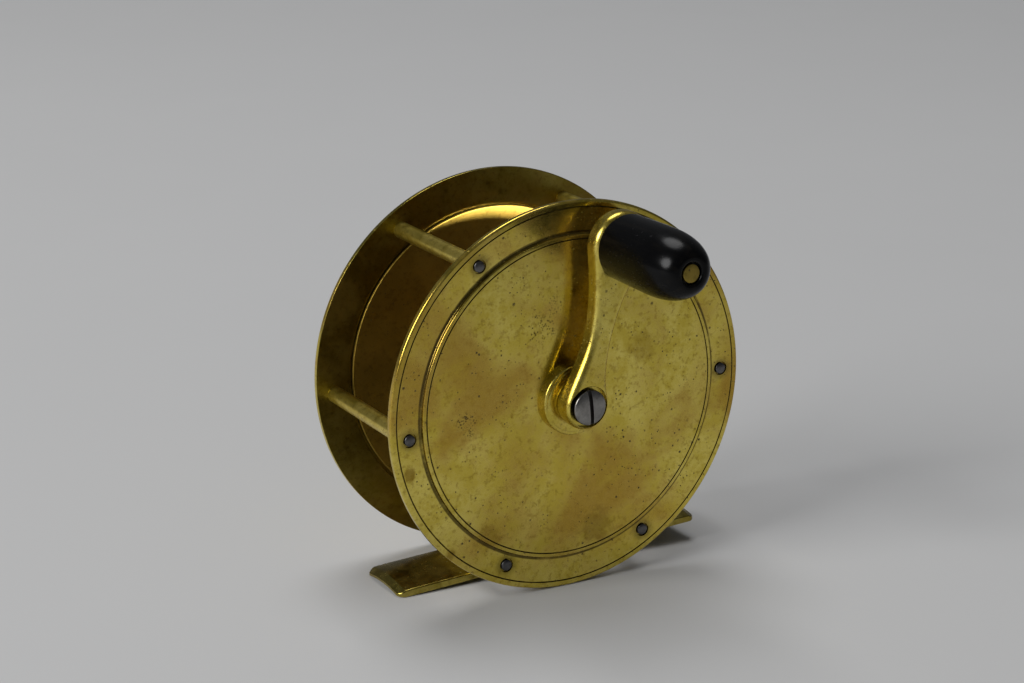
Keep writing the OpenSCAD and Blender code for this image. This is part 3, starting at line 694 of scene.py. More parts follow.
def steel(name, groups, colour, dark, rough, spots, scratches, blue=0.0, shade_below=None):
    """Steel with a thin dark film, worn bright on its edges, and painted near-black shade below a
    height when one is given.
    """
    f = Finish(name, colour, rough, 1.0)
    g = f.g
    looks = bpy.context.scene.reel_finish
    patina = f.group(groups["patina"], Vector=f.place, Stain=0.6, Spots=spots)
    marks = f.group(groups["scratches"], Vector=f.place, Depth=scratches)
    edges = f.group(groups["edges"], Radius=0.00025, Grain=patina["Grain"])
    tone = g.blend(patina["Cloud"], dark, colour)
    tone = g.blend(g.math("MULTIPLY", patina["Stain"], 0.5), tone, (0.10, 0.07, 0.045))
    if blue > 0.0:
        tone = g.blend(g.math("MULTIPLY", patina["Grain"], blue), tone, (0.07, 0.08, 0.10))
    tone = g.blend(g.math("MULTIPLY", edges["Worn"], 0.6), tone, (0.55, 0.54, 0.52))
    tone = g.blend(g.math("MULTIPLY", patina["Spots"], 0.8), tone, tuple(looks.spot_and_shade_umber))
    # Painted shade: near black below a height, in the screw's slot and round the rim of its head.
    if shade_below:
        parts = g.add("ShaderNodeSeparateXYZ")
        g.put(parts.inputs[0], f.place)
        tone = g.blend(g.ramp(parts.outputs[2], shade_below[0], shade_below[1], 0.95, 0.0), tone,
                       (0.008, 0.007, 0.006))
    f.set("Base Color", tone)
    soft = g.math("ADD", rough, g.math("MULTIPLY", patina["Grain"], 0.10))
    f.set("Roughness", g.math("ADD", soft, g.math("MULTIPLY", patina["Spots"], 0.3), clamp=True))
    f.set("Metallic", g.math("SUBTRACT", 1.0, g.math("MULTIPLY", patina["Spots"], 0.5), clamp=True))
    normal = g.bump(patina["Grain"], 0.08, 0.0001)
    f.set("Normal", g.bump(marks["Height"], 0.4, 0.00003, normal))
    return f.material


def horn(name, groups):
    """Black horn, polished by the hand: a faint streak along it, fine scratches and dust."""
    looks = bpy.context.scene.reel_finish
    f = Finish(name, tuple(looks.horn), 0.2, 0.0)
    f.shader.inputs["Specular IOR Level"].default_value = 0.15
    g = f.g
    patina = f.group(groups["patina"], Vector=f.place, Stain=0.4, Spots=0.4)
    marks = f.group(groups["scratches"], Vector=f.place, Depth=0.6)
    edges = f.group(groups["edges"], Radius=0.0003, Grain=patina["Grain"])
    streak = g.noise(g.stretch(f.place, (700.0, 700.0, 60.0)), 1.0, 3.0)
    tone = g.blend(g.ramp(streak, 0.45, 0.75), tuple(looks.horn), (0.006, 0.005, 0.004))
    tone = g.blend(g.math("MULTIPLY", marks["Mask"], 0.5), tone, (0.03, 0.03, 0.03))
    tone = g.blend(g.math("MULTIPLY", edges["Worn"], 0.3), tone, (0.03, 0.028, 0.026))
    f.set("Base Color", tone)
    soft = g.math("ADD", 0.17, g.math("MULTIPLY", patina["Grain"], 0.08))
    soft = g.math("ADD", soft, g.math("MULTIPLY", marks["Mask"], 0.25))
    f.set("Roughness", g.math("ADD", soft, g.math("MULTIPLY", patina["Cloud"], 0.05), clamp=True))
    normal = g.bump(g.noise(f.place, 160.0, 2.0), 0.03, 0.0005)
    f.set("Normal", g.bump(marks["Height"], 0.2, 0.00003, normal))
    return f.material


def floor_finish(colour):
    """Pale matt card with the faintest unevenness, and painted shade towards its front."""
    f = Finish("Pale card", colour, 0.85, 0.0)
    g = f.g
    shade = g.ramp(g.noise(f.place, 3.0, 3.0), 0.3, 0.7)
    tone = g.blend(shade, tuple(c * 0.985 for c in colour), tuple(colour))
    parts = g.add("ShaderNodeSeparateXYZ")
    g.put(parts.inputs[0], f.place)
    # Painted shade: the card darkens towards its front, past the reel, for a darker zone reflected
    # in the plates.
    painted_shade = g.ramp(parts.outputs[1], -0.36, -0.13, 0.55, 0.0)
    f.set("Base Color", g.blend(painted_shade, tone, tuple(c * 0.3 for c in colour)))
    f.set("Roughness", g.ramp(g.noise(f.place, 40.0, 2.0), 0.3, 0.7, 0.82, 0.9))
    return f.material


def finish(name):
    material = bpy.data.materials.get(name)
    if material is None:
        raise RuntimeError(f"the finish {name} isn't made yet")
    return material


class ReelOperator:
    """What every operator here shares."""
    bl_options = {"REGISTER", "UNDO"}


class REEL_OT_finishes(ReelOperator, bpy.types.Operator):
    """Makes the shader groups and every finish"""
    bl_idname = "reel.finishes"
    bl_label = "Finishes"

    def execute(self, context):
        looks = context.scene.reel_finish
        groups = {
            "patina": build_patina_group(), "scratches": build_scratch_group(),
            "edges": build_edge_group(), "turning": build_turning_group(),
            "dirt": build_dark_lines_and_shade_group(), "mark": build_mark_group(),
        }
        clean, film, amber = tuple(looks.brass), tuple(looks.olive), tuple(looks.amber)
        stain, spots, marks = looks.stain, looks.spots, looks.scratches
        s = context.scene.reel_sizes
        # Where the plate is darkened: its scribed lines, and painted shade in the disc's step and
        # round the pillar screws.
        dirt = {"Line A": s.disc_r - s.scribe_inset, "Step": s.disc_r + s.disc_cove * 0.9,
                "Line B": PLATE_R - s.scribe_inset - s.rim_round, "Width": s.scribe_w * 0.8}
        for letter, (x, y) in zip("ABC", [p for p in pillar_places().values() if p[0] > 0]):
            dirt["Screw " + letter] = (x, y, 0.0)
        brass("Plate brass", groups, clean, film, amber, stain * 1.75, spots, 0.10, 0.0003,
              waviness=0.005, scratches=marks, dirt=dirt,
              pits=[(x * MM, y * MM, size * MM) for x, y, size in PLATE_PITS],
              blots=[(x * MM, y * MM, size * MM, much) for x, y, size, much in PLATE_BLOTS])
        # Painted shade: a darker copy of the plate brass, for the plates' faces turned into the
        # reel.
        brass("Plate brass in painted shade", groups, tuple(c * 0.5 for c in clean),
              tuple(c * 0.42 for c in film), tuple(c * 0.5 for c in amber), stain * 1.5, spots * 0.3,
              0.27, 0.0003, scratches=marks * 0.3)
        brass("Arm brass", groups, clean, film, amber, stain * 0.9, spots * 0.8, 0.22, 0.0004,
              waviness=0.03, scratches=marks)
        brass("Pillar brass", groups, clean, film, amber, stain * 0.5, spots * 0.6, 0.26, 0.0003,
              scratches=marks * 0.8, turning=0.3)
        brass("Foot brass", groups, tuple(c * 0.6 for c in clean), tuple(c * 0.45 for c in film),
              tuple(c * 0.45 for c in amber), stain, spots * 0.35, 0.17, 0.0004, waviness=0.006,
              scratches=marks * 0.4)
        # Inner brass: the spool's duller brass, darkened further as painted shade for the dim
        # inside.
        brass("Inner brass with painted shade", groups, tuple(looks.inner), tuple(c * 0.8 for c in looks.inner),
              tuple(c * 0.6 for c in amber), stain * 0.9, spots * 0.8, 0.46, 0.0003,
              scratches=marks * 0.6, turning=0.3, pitch=2600.0)
        brass("Rivet brass", groups, tuple(looks.rivet), tuple(c * 0.75 for c in looks.rivet),
              tuple(c * 0.6 for c in looks.rivet), stain, spots, 0.42, 0.0002, scratches=marks)
        # The crank screw gets painted shade, near black, in its slot and round its head's rim.
        crown = -front_depths("crank_screw")[0]
        steel("Worn steel", groups, tuple(looks.steel), tuple(c * 0.5 for c in looks.steel), 0.26,
              0.9, marks, shade_below=(crown - 0.95 * MM, crown - 0.75 * MM))
        steel("Blued steel", groups, tuple(looks.blued), tuple(c * 0.45 for c in looks.blued), 0.3,
              0.7, marks * 0.6, blue=0.6)
        steel("Running steel", groups, (0.42, 0.42, 0.43), (0.26, 0.26, 0.27), 0.25, 0.5,
              marks * 0.5)
        horn("Black horn", groups)
        floor_finish(tuple(context.scene.reel_stage.floor))
        return {"FINISHED"}


# ---- Plates ----

def groove(profile, r, z, width, depth_in, outward):
    """Adds a rounded groove to a profile on a flat face at height z; outward is +1 or -1."""
    steps = 6
    half = width / 2
    for i in range(steps + 1):
        a = math.pi * i / steps
        profile.append((r - half * math.cos(a), z - outward * depth_in * math.sin(a)))


def plate_profile(s, bore_r, facing):
    """Half section of a plate from its bore round its face, rim and back. Its rim's face is at
    z = 0, it faces +z, and facing = -1 mirrors it."""
    rise, lip, cove = s.disc_rise, s.disc_lip, s.disc_cove
    inner = rise - s.disc_t
    points = [(bore_r, rise - 0.1 * MM), (bore_r + 0.1 * MM, rise), (s.disc_r * 0.5, rise)]
    groove(points, s.disc_r - s.scribe_inset, rise, s.scribe_w, s.scribe_depth, 1)
    points += arc(s.disc_r - lip, rise - lip, lip, 88, 8, 6)
    points += arc(s.disc_r + cove, 0.06 * MM, cove - 0.06 * MM, 178, 264, 6)
    edge = PLATE_R
    groove(points, edge - s.scribe_inset - s.rim_round, 0.0, s.scribe_w, s.scribe_depth, 1)
    points += arc(edge - s.rim_round, -s.rim_round, s.rim_round, 88, 0, 7)
    soft = 0.12 * MM
    points += arc(edge - soft, -s.plate_t + soft, soft, 0, -90, 3)
    points += [(s.recess_r + 0.1 * MM, -s.plate_t), (s.recess_r, -s.plate_t + 0.1 * MM)]
    points += [(s.recess_r, inner), (s.recess_r * 0.5, inner), (bore_r, inner)]
    return [(r, facing * z) for r, z in points]


def flared_cutter(name, matrix, x, y, r, z_floor, z_mouth, z_out, flare, through_r, z_back,
                  segments=48):
    """A cutter for a counterbored screw room: a bore with a soft mouth, and a hole through the
    floor. It points along z, from z_back to z_out."""
    bm = bmesh.new()
    up = 1.0 if z_out > z_floor else -1.0
    wide = r + flare
    profile = [
        (0.0, z_back), (through_r, z_back), (through_r, z_floor), (r, z_floor),
        (r, z_mouth - up * flare), (r + flare * 0.35, z_mouth - up * flare * 0.3), (wide, z_mouth),
        (wide + abs(z_out - z_mouth), z_out), (0.0, z_out),
    ]
    lathe(bm, profile, segments, (x, y), closed=False)
    return finish_mesh(name, bm, matrix)


def pillar_places():
    """The pillars' places in the axial frame, as {name: (x, y)}."""
    return {name: (middle(name, 0), middle(name, 2) - AXIS_Z) for name in PILLARS}


class REEL_OT_plates(ReelOperator, bpy.types.Operator):
    """Makes the front and back plates with their raised discs, scribed lines and screw rooms"""
    bl_idname = "reel.plates"
    bl_label = "Plates"

    def execute(self, context):
        s = context.scene.reel_sizes
        back_rim = depth(PLATE_BACK) + s.plate_t
        for name, node, base, facing in (
                ("FrontPlate", "front_plate", 0.0, 1), ("BackPlate", "back_plate", -back_rim, -1)):
            profile = [(r, base + z) for r, z in plate_profile(s, s.bush_r, facing)]
            plate = turned(name, profile)
            cutters = []
            flare = 0.12 * MM
            for pillar, (x, y) in pillar_places().items():
                cutters.append(flared_cutter(
                    f"cut_{pillar}", axial_matrix(), x, y, s.screw_head_r + s.screw_gap,
                    base - facing * s.screw_seat, base, base + facing * 2 * MM, flare,
                    0.65 * MM, base - facing * 4 * MM))
            cut(plate, cutters)
            smooth(plate)
            place(plate, "cage", (node,), finish("Plate brass"))
            plate.data.materials.append(finish("Plate brass in painted shade"))
            # Painted shade: faces turned into the reel take the darker copy of the brass.
            for face in plate.data.polygons:
                if face.normal.z * facing < -0.5:
                    face.material_index = 1
        return {"FINISHED"}


# ---- Pillars and their screws ----

class REEL_OT_pillars(ReelOperator, bpy.types.Operator):
    """Makes the six pillars and the domed screws at both their ends"""
    bl_idname = "reel.pillars"
    bl_label = "Pillars and screws"

    def execute(self, context):
        s = context.scene.reel_sizes
        front, back = -depth(PLATE_FRONT), -depth(PLATE_BACK)
        soft = 0.12 * MM
        places = pillar_places()
        for name, (x, y) in places.items():
            r = PILLAR_R
            profile = [(0.0, front)]
            profile += [(r - soft, front)] + arc(r - soft, front - soft, soft, 90, 0, 3)[1:]
            profile += arc(r - soft, back + soft, soft, 0, -90, 3) + [(0.0, back)]
            label = "".join(w.capitalize() for w in name.split("_"))
            piece = turned(label, profile, 72, axial_matrix(x, y), closed=False)
            smooth(piece, 50)
            place(piece, "cage", (name,), finish("Pillar brass"))
        for label, node, rim, facing in (
                ("FrontPillarScrews", "front_pillar_screws", 0.0, 1),
                ("BackPillarScrews", "back_pillar_screws", -(depth(PLATE_BACK) + s.plate_t), -1)):
            bm = bmesh.new()
            seat = rim - facing * (s.screw_seat - 0.01 * MM)
            top = rim - facing * (s.screw_seat - 0.5 * MM)
            for x, y in places.values():
                r, dome = s.screw_head_r, s.screw_dome
                profile = [(0.0, seat), (r, seat), (r, top)]
                for i in range(1, 9):
                    a = math.radians(90 * i / 8)
                    profile.append((r * math.cos(a) if i < 8 else 0.0,
                                    top + facing * dome * math.sin(a)))
                lathe(bm, profile, 40, (x, y), closed=False)
            piece = finish_mesh(label, bm, axial_matrix())
            smooth(piece, 50)
            place(piece, "cage", (node,), finish("Blued steel"))
        return {"FINISHED"}


# ---- Foot ----

class REEL_OT_foot(ReelOperator, bpy.types.Operator):
    """Makes the arched foot with its bevelled ends"""
    bl_idname = "reel.foot"
    bl_label = "Foot"

    def execute(self, context):
        s = context.scene.reel_sizes
        half_l, half_w = half_span("foot", 0), half_span("foot", 1)
        mid_y = middle("foot", 1)
        crown = span("foot", 2)[1]
        seat_r = s.foot_seat_r
        centre_z = crown - seat_r - s.foot_t
        corner = s.foot_corner_r
        stations = [half_l - 0.02 * MM - corner * (1 - math.cos(math.radians(9 * i)))
                    for i in range(11)]
        inner = stations[-1]
        stations += [inner * (1 - i / 14.0) for i in range(1, 15)]
        xs = sorted(set([round(-x, 7) for x in stations] + [round(x, 7) for x in stations]))
        loops = []
        for x in xs:
            along = half_l - abs(x)
            width = half_w
            if along < corner:
                width = half_w - corner + math.sqrt(max(corner ** 2 - (corner - along) ** 2, 1e-12))
            lift = min(along / s.foot_bevel, 1.0)
            thick = s.foot_tip + (s.foot_t - s.foot_tip) * lift
            edge = min(FOOT_EDGE_R, thick * 0.45, width * 0.45)
            top_r = seat_r + thick
            steps = 20
            loop = []
            reach = math.asin(min(max(width - edge, 1e-5) / top_r, 0.999))
            for i in range(steps + 1):
                a = -reach + 2 * reach * i / steps
                loop.append((top_r * math.sin(a), centre_z + top_r * math.cos(a)))
            right_y, right_z = loop[-1]
            for i in range(1, 5):
                a = math.radians(90 - 22.5 * i)
                loop.append((right_y + edge * math.cos(a), right_z - edge + edge * math.sin(a)))
            reach_in = math.asin(min(width / seat_r, 0.999))
            for i in range(steps + 1):
                a = reach_in - 2 * reach_in * i / steps
                loop.append((seat_r * math.sin(a), centre_z + seat_r * math.cos(a)))
            left_y, left_z = -right_y, right_z
            for i in range(0, 4):
                a = math.radians(180 - 22.5 * i)
                loop.append((left_y + edge * math.cos(a), left_z - edge + edge * math.sin(a)))
            loops.append([(x, mid_y + y, z) for y, z in loop])
        bm = bmesh.new()
        skin(bm, loops)
        foot = finish_mesh("Foot", bm)
        smooth(foot, 40)
        place(foot, "cage", ("foot",), finish("Foot brass"))
        return {"FINISHED"}


# ---- Bushes, the check's guard ring and the spool ----

def front_depths(node):
    """Front and back depth of a node behind the front rim's face."""
    low, high = span(node, 1)
    return depth(low), depth(high)


class REEL_OT_bushes(ReelOperator, bpy.types.Operator):
    """Makes the two bushes with their stepped collars"""
    bl_idname = "reel.bushes"
    bl_label = "Bushes"

    def execute(self, context):
        s = context.scene.reel_sizes
        bore = BUSH_BORE_R
        for label, node, facing, height in (
                ("FrontBush", "front_bush", 1, 1.7 * MM), ("BackBush", "back_bush", -1, 2.6 * MM)):
            low, high = front_depths(node)
            outer, inner = (-low, -high) if facing == 1 else (-high, -low)
            shoulder = outer - facing * height
            wide = half_span(node, 0)
            step_w, step_h, edge = 0.7 * MM, 0.15 * MM, 0.3 * MM
            neck = wide - step_w
            profile = [(bore, inner), (s.bush_r, inner), (s.bush_r, shoulder), (wide, shoulder)]
            mid = outer - facing * step_h
            profile += [(wide, mid - facing * edge)]
            profile += [(wide - edge + edge * math.cos(math.radians(a)),
                         mid - facing * edge + facing * edge * math.sin(math.radians(a)))
                        for a in (15, 30, 45, 60, 75, 90)]
            profile += [(neck + 0.05 * MM, mid), (neck, mid + facing * 0.04 * MM)]
            crown = 1.2 * MM
            low_step = 0.04 * MM
            profile += [(neck - crown * (1 - math.cos(math.radians(a))),
                         mid + facing * (low_step + (step_h - low_step) * math.sin(math.radians(a))))
                        for a in (15, 30, 45, 60, 75, 90)]
            if facing == 1:
                profile += [(bore + 0.1 * MM, outer), (bore, outer - 0.1 * MM)]
                piece = turned(label, profile, 160)
            else:
                # The back bush is closed over the journal with a soft cap.
                cap = [(0.0, outer), (neck - 1.3 * MM, outer)]
                body = [(bore, inner)] + profile[1:-1] + [cap[1], cap[0]]
                end = inner - journal_end()
                piece = turned(label, [(0.0, end)] + [(bore, end)] + body, 160, closed=False)
            smooth(piece)
            place(piece, "cage", (node,), finish("Arm brass"))
        return {"FINISHED"}


def journal_end():
    """How far the back bush's blind bore runs behind its inner face."""
    high = depth(span("spindle", 1)[1])
    inner = depth(span("back_bush", 1)[0])
    return high - inner + 0.2 * MM


class REEL_OT_spool(ReelOperator, bpy.types.Operator):
    """Makes the check's guard ring, the spool's arbor and its two flanges"""
    bl_idname = "reel.spool"
    bl_label = "Spool"

    def execute(self, context):
        near, far = front_depths("check_guard_ring")
        outer = half_span("check_guard_ring", 0)
        inner = outer - GUARD_RING_T
        ring = turned("GuardRing", [(inner, -far), (outer, -far), (outer, -near), (inner, -near)])
        bevel(ring, 0.08 * MM, 2)
        smooth(ring)
        place(ring, "cage", ("check_guard_ring",), finish("Inner brass with painted shade"))
        for label, node in (
                ("FrontFlange", "spool_front_flange"), ("BackFlange", "spool_back_flange")):
            near, far = front_depths(node)
            bore = SPIGOT_R
            r = half_span(node, 0)
            soft = 0.2 * MM
            profile = [(bore, -near), (r * 0.5, -near)]
            profile += arc(r - soft, -near - soft, soft, 90, 0, 4)
            profile += arc(r - soft, -far + soft, soft, 0, -90, 4)
            profile += [(r * 0.5, -far), (bore, -far)]
            flange = turned(label, profile)
            smooth(flange)
            place(flange, "spool", (node,), finish("Inner brass with painted shade"))
        near, far = front_depths("spool_arbor")
        r = half_span("spool_arbor", 0)
        front_face, back_face = depth(span("spool_front_flange", 1)[1]), depth(
            span("spool_back_flange", 1)[0])
        spigot, bore = SPIGOT_R, SPINDLE_R
        profile = [
            (bore, -near), (spigot, -near), (spigot, -front_face), (r, -front_face),
            (r, -back_face), (spigot, -back_face), (spigot, -far), (bore, -far)]
        arbor = turned("Arbor", profile, 160)
        bevel(arbor, 0.1 * MM, 2)
        smooth(arbor)
        place(arbor, "spool", ("spool_arbor",), finish("Inner brass with painted shade"))
        return {"FINISHED"}


# ---- Crank ----

def curve(p0, p1, p2, p3, steps):
    """Points of a cubic curve, without its last one."""
    points = []
    for i in range(steps):
        t = i / steps
        u = 1 - t
        points.append(tuple(
            u ** 3 * a + 3 * u * u * t * b + 3 * u * t * t * c + t ** 3 * d
            for a, b, c, d in zip(p0, p1, p2, p3)))
    return points


def arm_outline(boss_r, end_r):
    """Outline of the crank arm, anticlockwise, with u along the arm and v to its left."""
    a, l, e = boss_r, CRANK_LEN, end_r
    turn = math.radians(110)
    join = (e * math.cos(turn), e * math.sin(turn))
    left, right = (0.62 * l, 0.74 * a), (0.66 * l, -0.55 * a)
    start, end = (-0.08 * a, a), (0.5 * a, -0.866 * a)
    points = curve((l + join[0], -join[1]), (0.85 * l, -0.77 * e), (0.78 * l, -0.7 * a), right, 16)
    points += curve(right, (0.49 * l, -0.35 * a), (0.27 * l, -0.3 * a), end, 24)
    first = math.degrees(math.atan2(end[1], end[0]))
    last = math.degrees(math.atan2(start[1], start[0])) - 360
    points += arc(0.0, 0.0, a, first, last, 48)[:-1]
    points += curve(start, (1.22 * a, 0.94 * a), (0.32 * l, 0.33 * a), left, 24)
    points += curve(left, (0.72 * l, 0.86 * a), (0.82 * l, 0.76 * e), (l + join[0], join[1]), 16)
    points += arc(l, 0.0, e, 110, -110, 56)[:-1]
    area = sum(p[0] * q[1] - q[0] * p[1] for p, q in zip(points, points[1:] + points[:1]))
    return points if area > 0 else points[::-1]


def inset_loop(points, by):
    """A closed outline moved inwards by a small distance."""
    moved = []
    count = len(points)
    for i, (x, y) in enumerate(points):
        px, py = points[i - 1]
        nx, ny = points[(i + 1) % count]
        dx, dy = nx - px, ny - py
        size = math.hypot(dx, dy) or 1.0
        moved.append((x - by * dy / size, y + by * dx / size))
    return moved


class REEL_OT_crank(ReelOperator, bpy.types.Operator):
    """Makes the crank arm, its washer and its slotted screw"""
    bl_idname = "reel.crank"
    bl_label = "Crank"

    def execute(self, context):
        s = context.scene.reel_sizes
        near, far = front_depths("crank_arm")
        front, back = -near, -far
        outline = arm_outline(s.boss_r, ARM_END_R)
        loops = []
        for i in range(4):
            a = math.radians(30 * i)
            by = s.arm_back_round * (1 - math.sin(a))
            loops.append([(x, y, back + s.arm_back_round * (1 - math.cos(a)))
                          for x, y in inset_loop(outline, by)])
        for i in range(7):
            a = math.radians(15 * i)
            by = s.arm_round * (1 - math.cos(a))
            loops.append([(x, y, front - s.arm_round * (1 - math.sin(a)))
                          for x, y in inset_loop(outline, by)])
        bm = bmesh.new()
        skin(bm, loops)
        place_arm = axial_matrix(turn=CRANK_ANGLE)
        arm = finish_mesh("CrankArm", bm, place_arm)
        head_near = front_depths("crank_screw")[0]
        seat = front - COUNTERBORE_DEPTH
        room = flared_cutter("cut_head", place_arm, 0.0, 0.0, COUNTERBORE_R, seat, front,
                             front + 2 * MM, 0.12 * MM, SCREW_SHANK_R, back - 2 * MM, 96)
        cut(arm, [room])
        smooth(arm, 40)
        place(arm, "spool", ("crank_arm",), finish("Arm brass"))

        near, far = front_depths("crank_washer")
        washer_r = half_span("crank_washer", 0)
        hole_r = WASHER_BORE_R
        washer = turned("CrankWasher", [(hole_r, -far), (washer_r, -far), (washer_r, -near),
                                        (hole_r, -near)], 96)
        bevel(washer, 0.12 * MM, 2)
        smooth(washer)
        place(washer, "spool", ("crank_washer",), finish("Arm brass"))

        head_r = half_span("crank_screw", 0)
        crown = -head_near
        rim_z = crown - SCREW_DOME
        profile = [(0.0, seat + 0.01 * MM), (head_r, seat + 0.01 * MM), (head_r, rim_z)]
        for i in range(1, 13):
            a = math.radians(90 * i / 12)
            profile.append((head_r * math.cos(a) ** 0.85 if i < 12 else 0.0,
                            rim_z + SCREW_DOME * math.sin(a)))
        screw = turned("CrankScrew", profile, 128, place_arm, closed=False)
        bm = bmesh.new()
        half = s.slot_w / 2
        reach = head_r * 1.3
        skin(bm, [[(-reach, y, crown - s.slot_depth), (reach, y, crown - s.slot_depth),
                   (reach, y, crown + 1 * MM), (-reach, y, crown + 1 * MM)]
                  for y in (-half, half)])
        slot = finish_mesh("cut_slot", bm, axial_matrix(turn=SLOT_TURN))
        cut(screw, [slot])
        bevel(screw, 0.08 * MM, 3, 40)
        smooth(screw)
        place(screw, "spool", ("crank_screw",), finish("Worn steel"))
        return {"FINISHED"}


class REEL_OT_grip(ReelOperator, bpy.types.Operator):
    """Makes the turned grip with its recessed end and the riveted end of its pin"""
    bl_idname = "reel.grip"
    bl_label = "Grip"

    def execute(self, context):
        near, far = front_depths("handle_grip")
        base, tip = -far, -near
        grip_len = tip - base
        points = []
        base_r, max_r, flat_r = GRIP_BASE_R, GRIP_FULL_R, GRIP_FLAT_R
        crown, edge, mouth = GRIP_CROWN, GRIP_EDGE_R, GRIP_MOUTH_R
        count = 60
        for i in range(count + 1):
            t = i / count
            t = crown + (1 - crown) * math.sin(math.radians(90 * (t - 0.4) / 0.6)) if t > 0.4 \
                else crown * t / 0.4
            if t < crown:
                r = base_r + (max_r - base_r) * math.sin(math.radians(90 * t / crown))
            else:
                share_in = (t - crown) / (1 - crown)
                r = flat_r + (max_r - flat_r) * max(1 - share_in ** 2.2, 0.0) ** 0.5
            points.append((r, base + grip_len * t))
        bore, hole = GRIP_BORE_R, PIN_ROOM_R
        recess = tip - GRIP_RECESS
        profile = [(bore, base), (base_r - edge, base)]
        profile += arc(base_r - edge, base + edge, edge, -75, 0, 5)
        profile += [p for p in points if p[1] > base + edge]
        profile += arc(hole + mouth, tip - mouth, mouth, 80, 180, 8)
        profile += [(hole, recess), (bore, recess)]
        x, z = HANDLE_X, HANDLE_Z - AXIS_Z
        grip = turned("Grip", profile, 144, axial_matrix(x, z))
        smooth(grip, 28)
        place(grip, "handle", ("handle_grip",), finish("Black horn"))

        pin_near, pin_far = front_depths("handle_pin")
        head_r, pin_r = PIN_HEAD_R, PIN_R
        top = -pin_near
        under = top - PIN_HEAD_T
        pin = [(0.0, -pin_far), (pin_r, -pin_far), (pin_r, under), (head_r, under)]
        pin += arc(head_r - 0.2 * MM, top - 0.2 * MM, 0.2 * MM, 0, 75, 4)
        pin += [(head_r * 0.5, top - 0.02 * MM), (0.0, top)]
        piece = turned("HandlePin", pin, 72, axial_matrix(x, z), closed=False)
        smooth(piece)
        place(piece, "spool", ("handle_pin",), finish("Rivet brass"))
        return {"FINISHED"}


class REEL_OT_carried(ReelOperator, bpy.types.Operator):
    """Gives the pieces carried over from the frame their finishes"""
    bl_idname = "reel.carried"
    bl_label = "Carried-over pieces"

    def execute(self, context):
        wanted = {
            "spindle": "Running steel", "check_wheel": "Running steel", "pawl": "Running steel",
            "pawl_stud": "Running steel", "check_spring": "Running steel",
            "spring_post": "Running steel", "flange_rivets": "Inner brass with painted shade",
            "saddle_left": "Pillar brass", "saddle_right": "Pillar brass",
            "foot_screws": "Blued steel",
        }
        for name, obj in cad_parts.items():
            if name in wanted:
                obj.data.materials.clear()
                obj.data.materials.append(finish(wanted[name]))
        return {"FINISHED"}


# ---- Stage ----

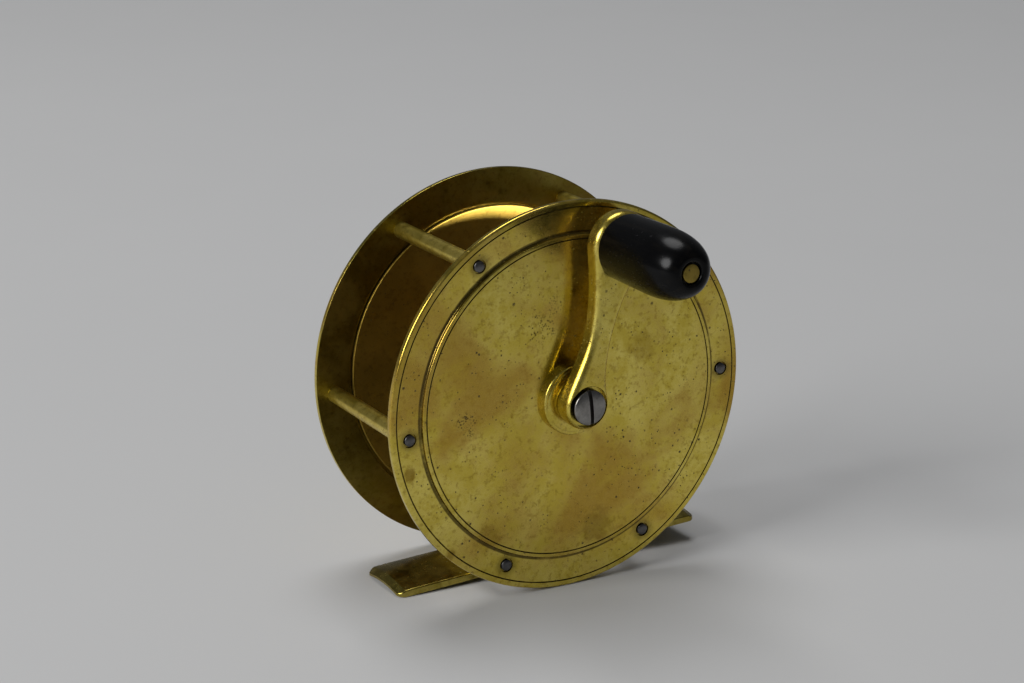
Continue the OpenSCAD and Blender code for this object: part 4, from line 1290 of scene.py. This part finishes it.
class REEL_OT_stage(ReelOperator, bpy.types.Operator):
    """Makes the floor, the lights, the room and the camera"""
    bl_idname = "reel.stage"
    bl_label = "Stage"

    def light(self, name, way, reach, size, watts):
        """A soft elliptical light that shines on the reel from a direction."""
        data = bpy.data.lights.new(name, "AREA")
        data.shape = "ELLIPSE"
        data.size, data.size_y = size
        data.energy = watts
        obj = bpy.data.objects.new(name, data)
        way = Vector(way).normalized()
        aim = Vector((0.0, 0.0, AXIS_Z))
        obj.location = aim + way * reach
        obj.rotation_euler = (-way).to_track_quat("-Z", "Y").to_euler()
        bpy.context.scene.collection.objects.link(obj)
        return obj

    def execute(self, context):
        scene = context.scene
        st = scene.reel_stage
        # The floor leans against the upright reel: it touches the rims and one end of the foot.
        normal = Vector((math.sin(st.lean), 0.0, math.cos(st.lean)))
        touch = Vector((0.0, 0.0, AXIS_Z)) - normal * (PLATE_R + 0.02 * MM)
        bm = bmesh.new()
        size, steps = 3.0, 24
        rows = []
        for j in range(steps + 1):
            y = -size + 2 * size * j / steps
            rows.append([bm.verts.new((-size + 2 * size * i / steps, y, 0.0))
                         for i in range(steps + 1)])
        for a, b in zip(rows, rows[1:]):
            for i in range(steps):
                bm.faces.new((a[i], a[i + 1], b[i + 1], b[i]))
        floor = finish_mesh("Floor", bm, Matrix.Translation(touch)
                            @ Vector((0, 0, 1)).rotation_difference(normal).to_matrix().to_4x4())
        floor.data.materials.append(finish("Pale card"))

        self.light("Left light", LEFT_WAY, 2.0, (1.1, 1.1), st.left_light)
        self.light("Top light", TOP_WAY, 2.0, (1.2, 1.2), st.top_light)
        # A narrow light past the front plate's edge. It lights only the flanges and the arbor.
        front = self.light("Front light", FRONT_WAY, 0.9, (0.14, 0.10), st.front_light)
        lit = bpy.data.collections.new("Lit by the front light")
        for name in ("BackFlange", "FrontFlange", "Arbor"):
            lit.objects.link(bpy.data.objects[name])
        front.light_linking.receiver_collection = lit

        world = bpy.data.worlds.new("Soft room")
        world.use_nodes = True
        back = world.node_tree.nodes["Background"]
        back.inputs["Color"].default_value = (0.92, 0.95, 1.0, 1.0)
        back.inputs["Strength"].default_value = st.room
        scene.world = world
        scene.view_settings.view_transform = "Standard"
        scene.view_settings.look = "None"

        data = bpy.data.cameras.new("Camera")
        data.lens = st.lens
        data.sensor_width = 36.0
        data.clip_start = 0.01
        data.clip_end = 20.0
        camera = bpy.data.objects.new("Camera", data)
        scene.collection.objects.link(camera)
        forward = Vector(VIEW_WAY).normalized()
        right = forward.cross(Vector(VIEW_UP)).normalized()
        up = right.cross(forward)
        turn = Matrix((right, up, -forward)).transposed().to_4x4()
        camera.matrix_world = Matrix.Translation(st.camera_at) @ turn
        scene.camera = camera
        return {"FINISHED"}


# ---- Panel and start ----

STEPS = (
    REEL_OT_finishes, REEL_OT_plates, REEL_OT_pillars, REEL_OT_foot, REEL_OT_bushes, REEL_OT_spool,
    REEL_OT_crank, REEL_OT_grip, REEL_OT_carried, REEL_OT_stage,
)


class REEL_PT_panel(bpy.types.Panel):
    """The reel's sizes and finishes, and a button for each of its pieces"""
    bl_label = "Fly Reel"
    bl_idname = "REEL_PT_panel"
    bl_space_type = "VIEW_3D"
    bl_region_type = "UI"
    bl_category = "Fly Reel"

    def draw(self, context):
        layout = self.layout
        for step in STEPS:
            layout.operator(step.bl_idname)
        scene = context.scene
        for group in (scene.reel_sizes, scene.reel_finish, scene.reel_stage):
            box = layout.box()
            for name in group.__annotations__:
                box.prop(group, name)


CLASSES = (ReelSizes, ReelFinish, ReelStage, *STEPS, REEL_PT_panel)


def register():
    for item in CLASSES:
        bpy.utils.register_class(item)
    bpy.types.Scene.reel_sizes = PointerProperty(type=ReelSizes)
    bpy.types.Scene.reel_finish = PointerProperty(type=ReelFinish)
    bpy.types.Scene.reel_stage = PointerProperty(type=ReelStage)


def unregister():
    del bpy.types.Scene.reel_stage
    del bpy.types.Scene.reel_finish
    del bpy.types.Scene.reel_sizes
    for item in reversed(CLASSES):
        bpy.utils.unregister_class(item)


def main():
    """Builds the reel in order."""
    register()
    for step in STEPS:
        family, name = step.bl_idname.split(".")
        getattr(getattr(bpy.ops, family), name)()


if __name__ == "__main__":
    main()
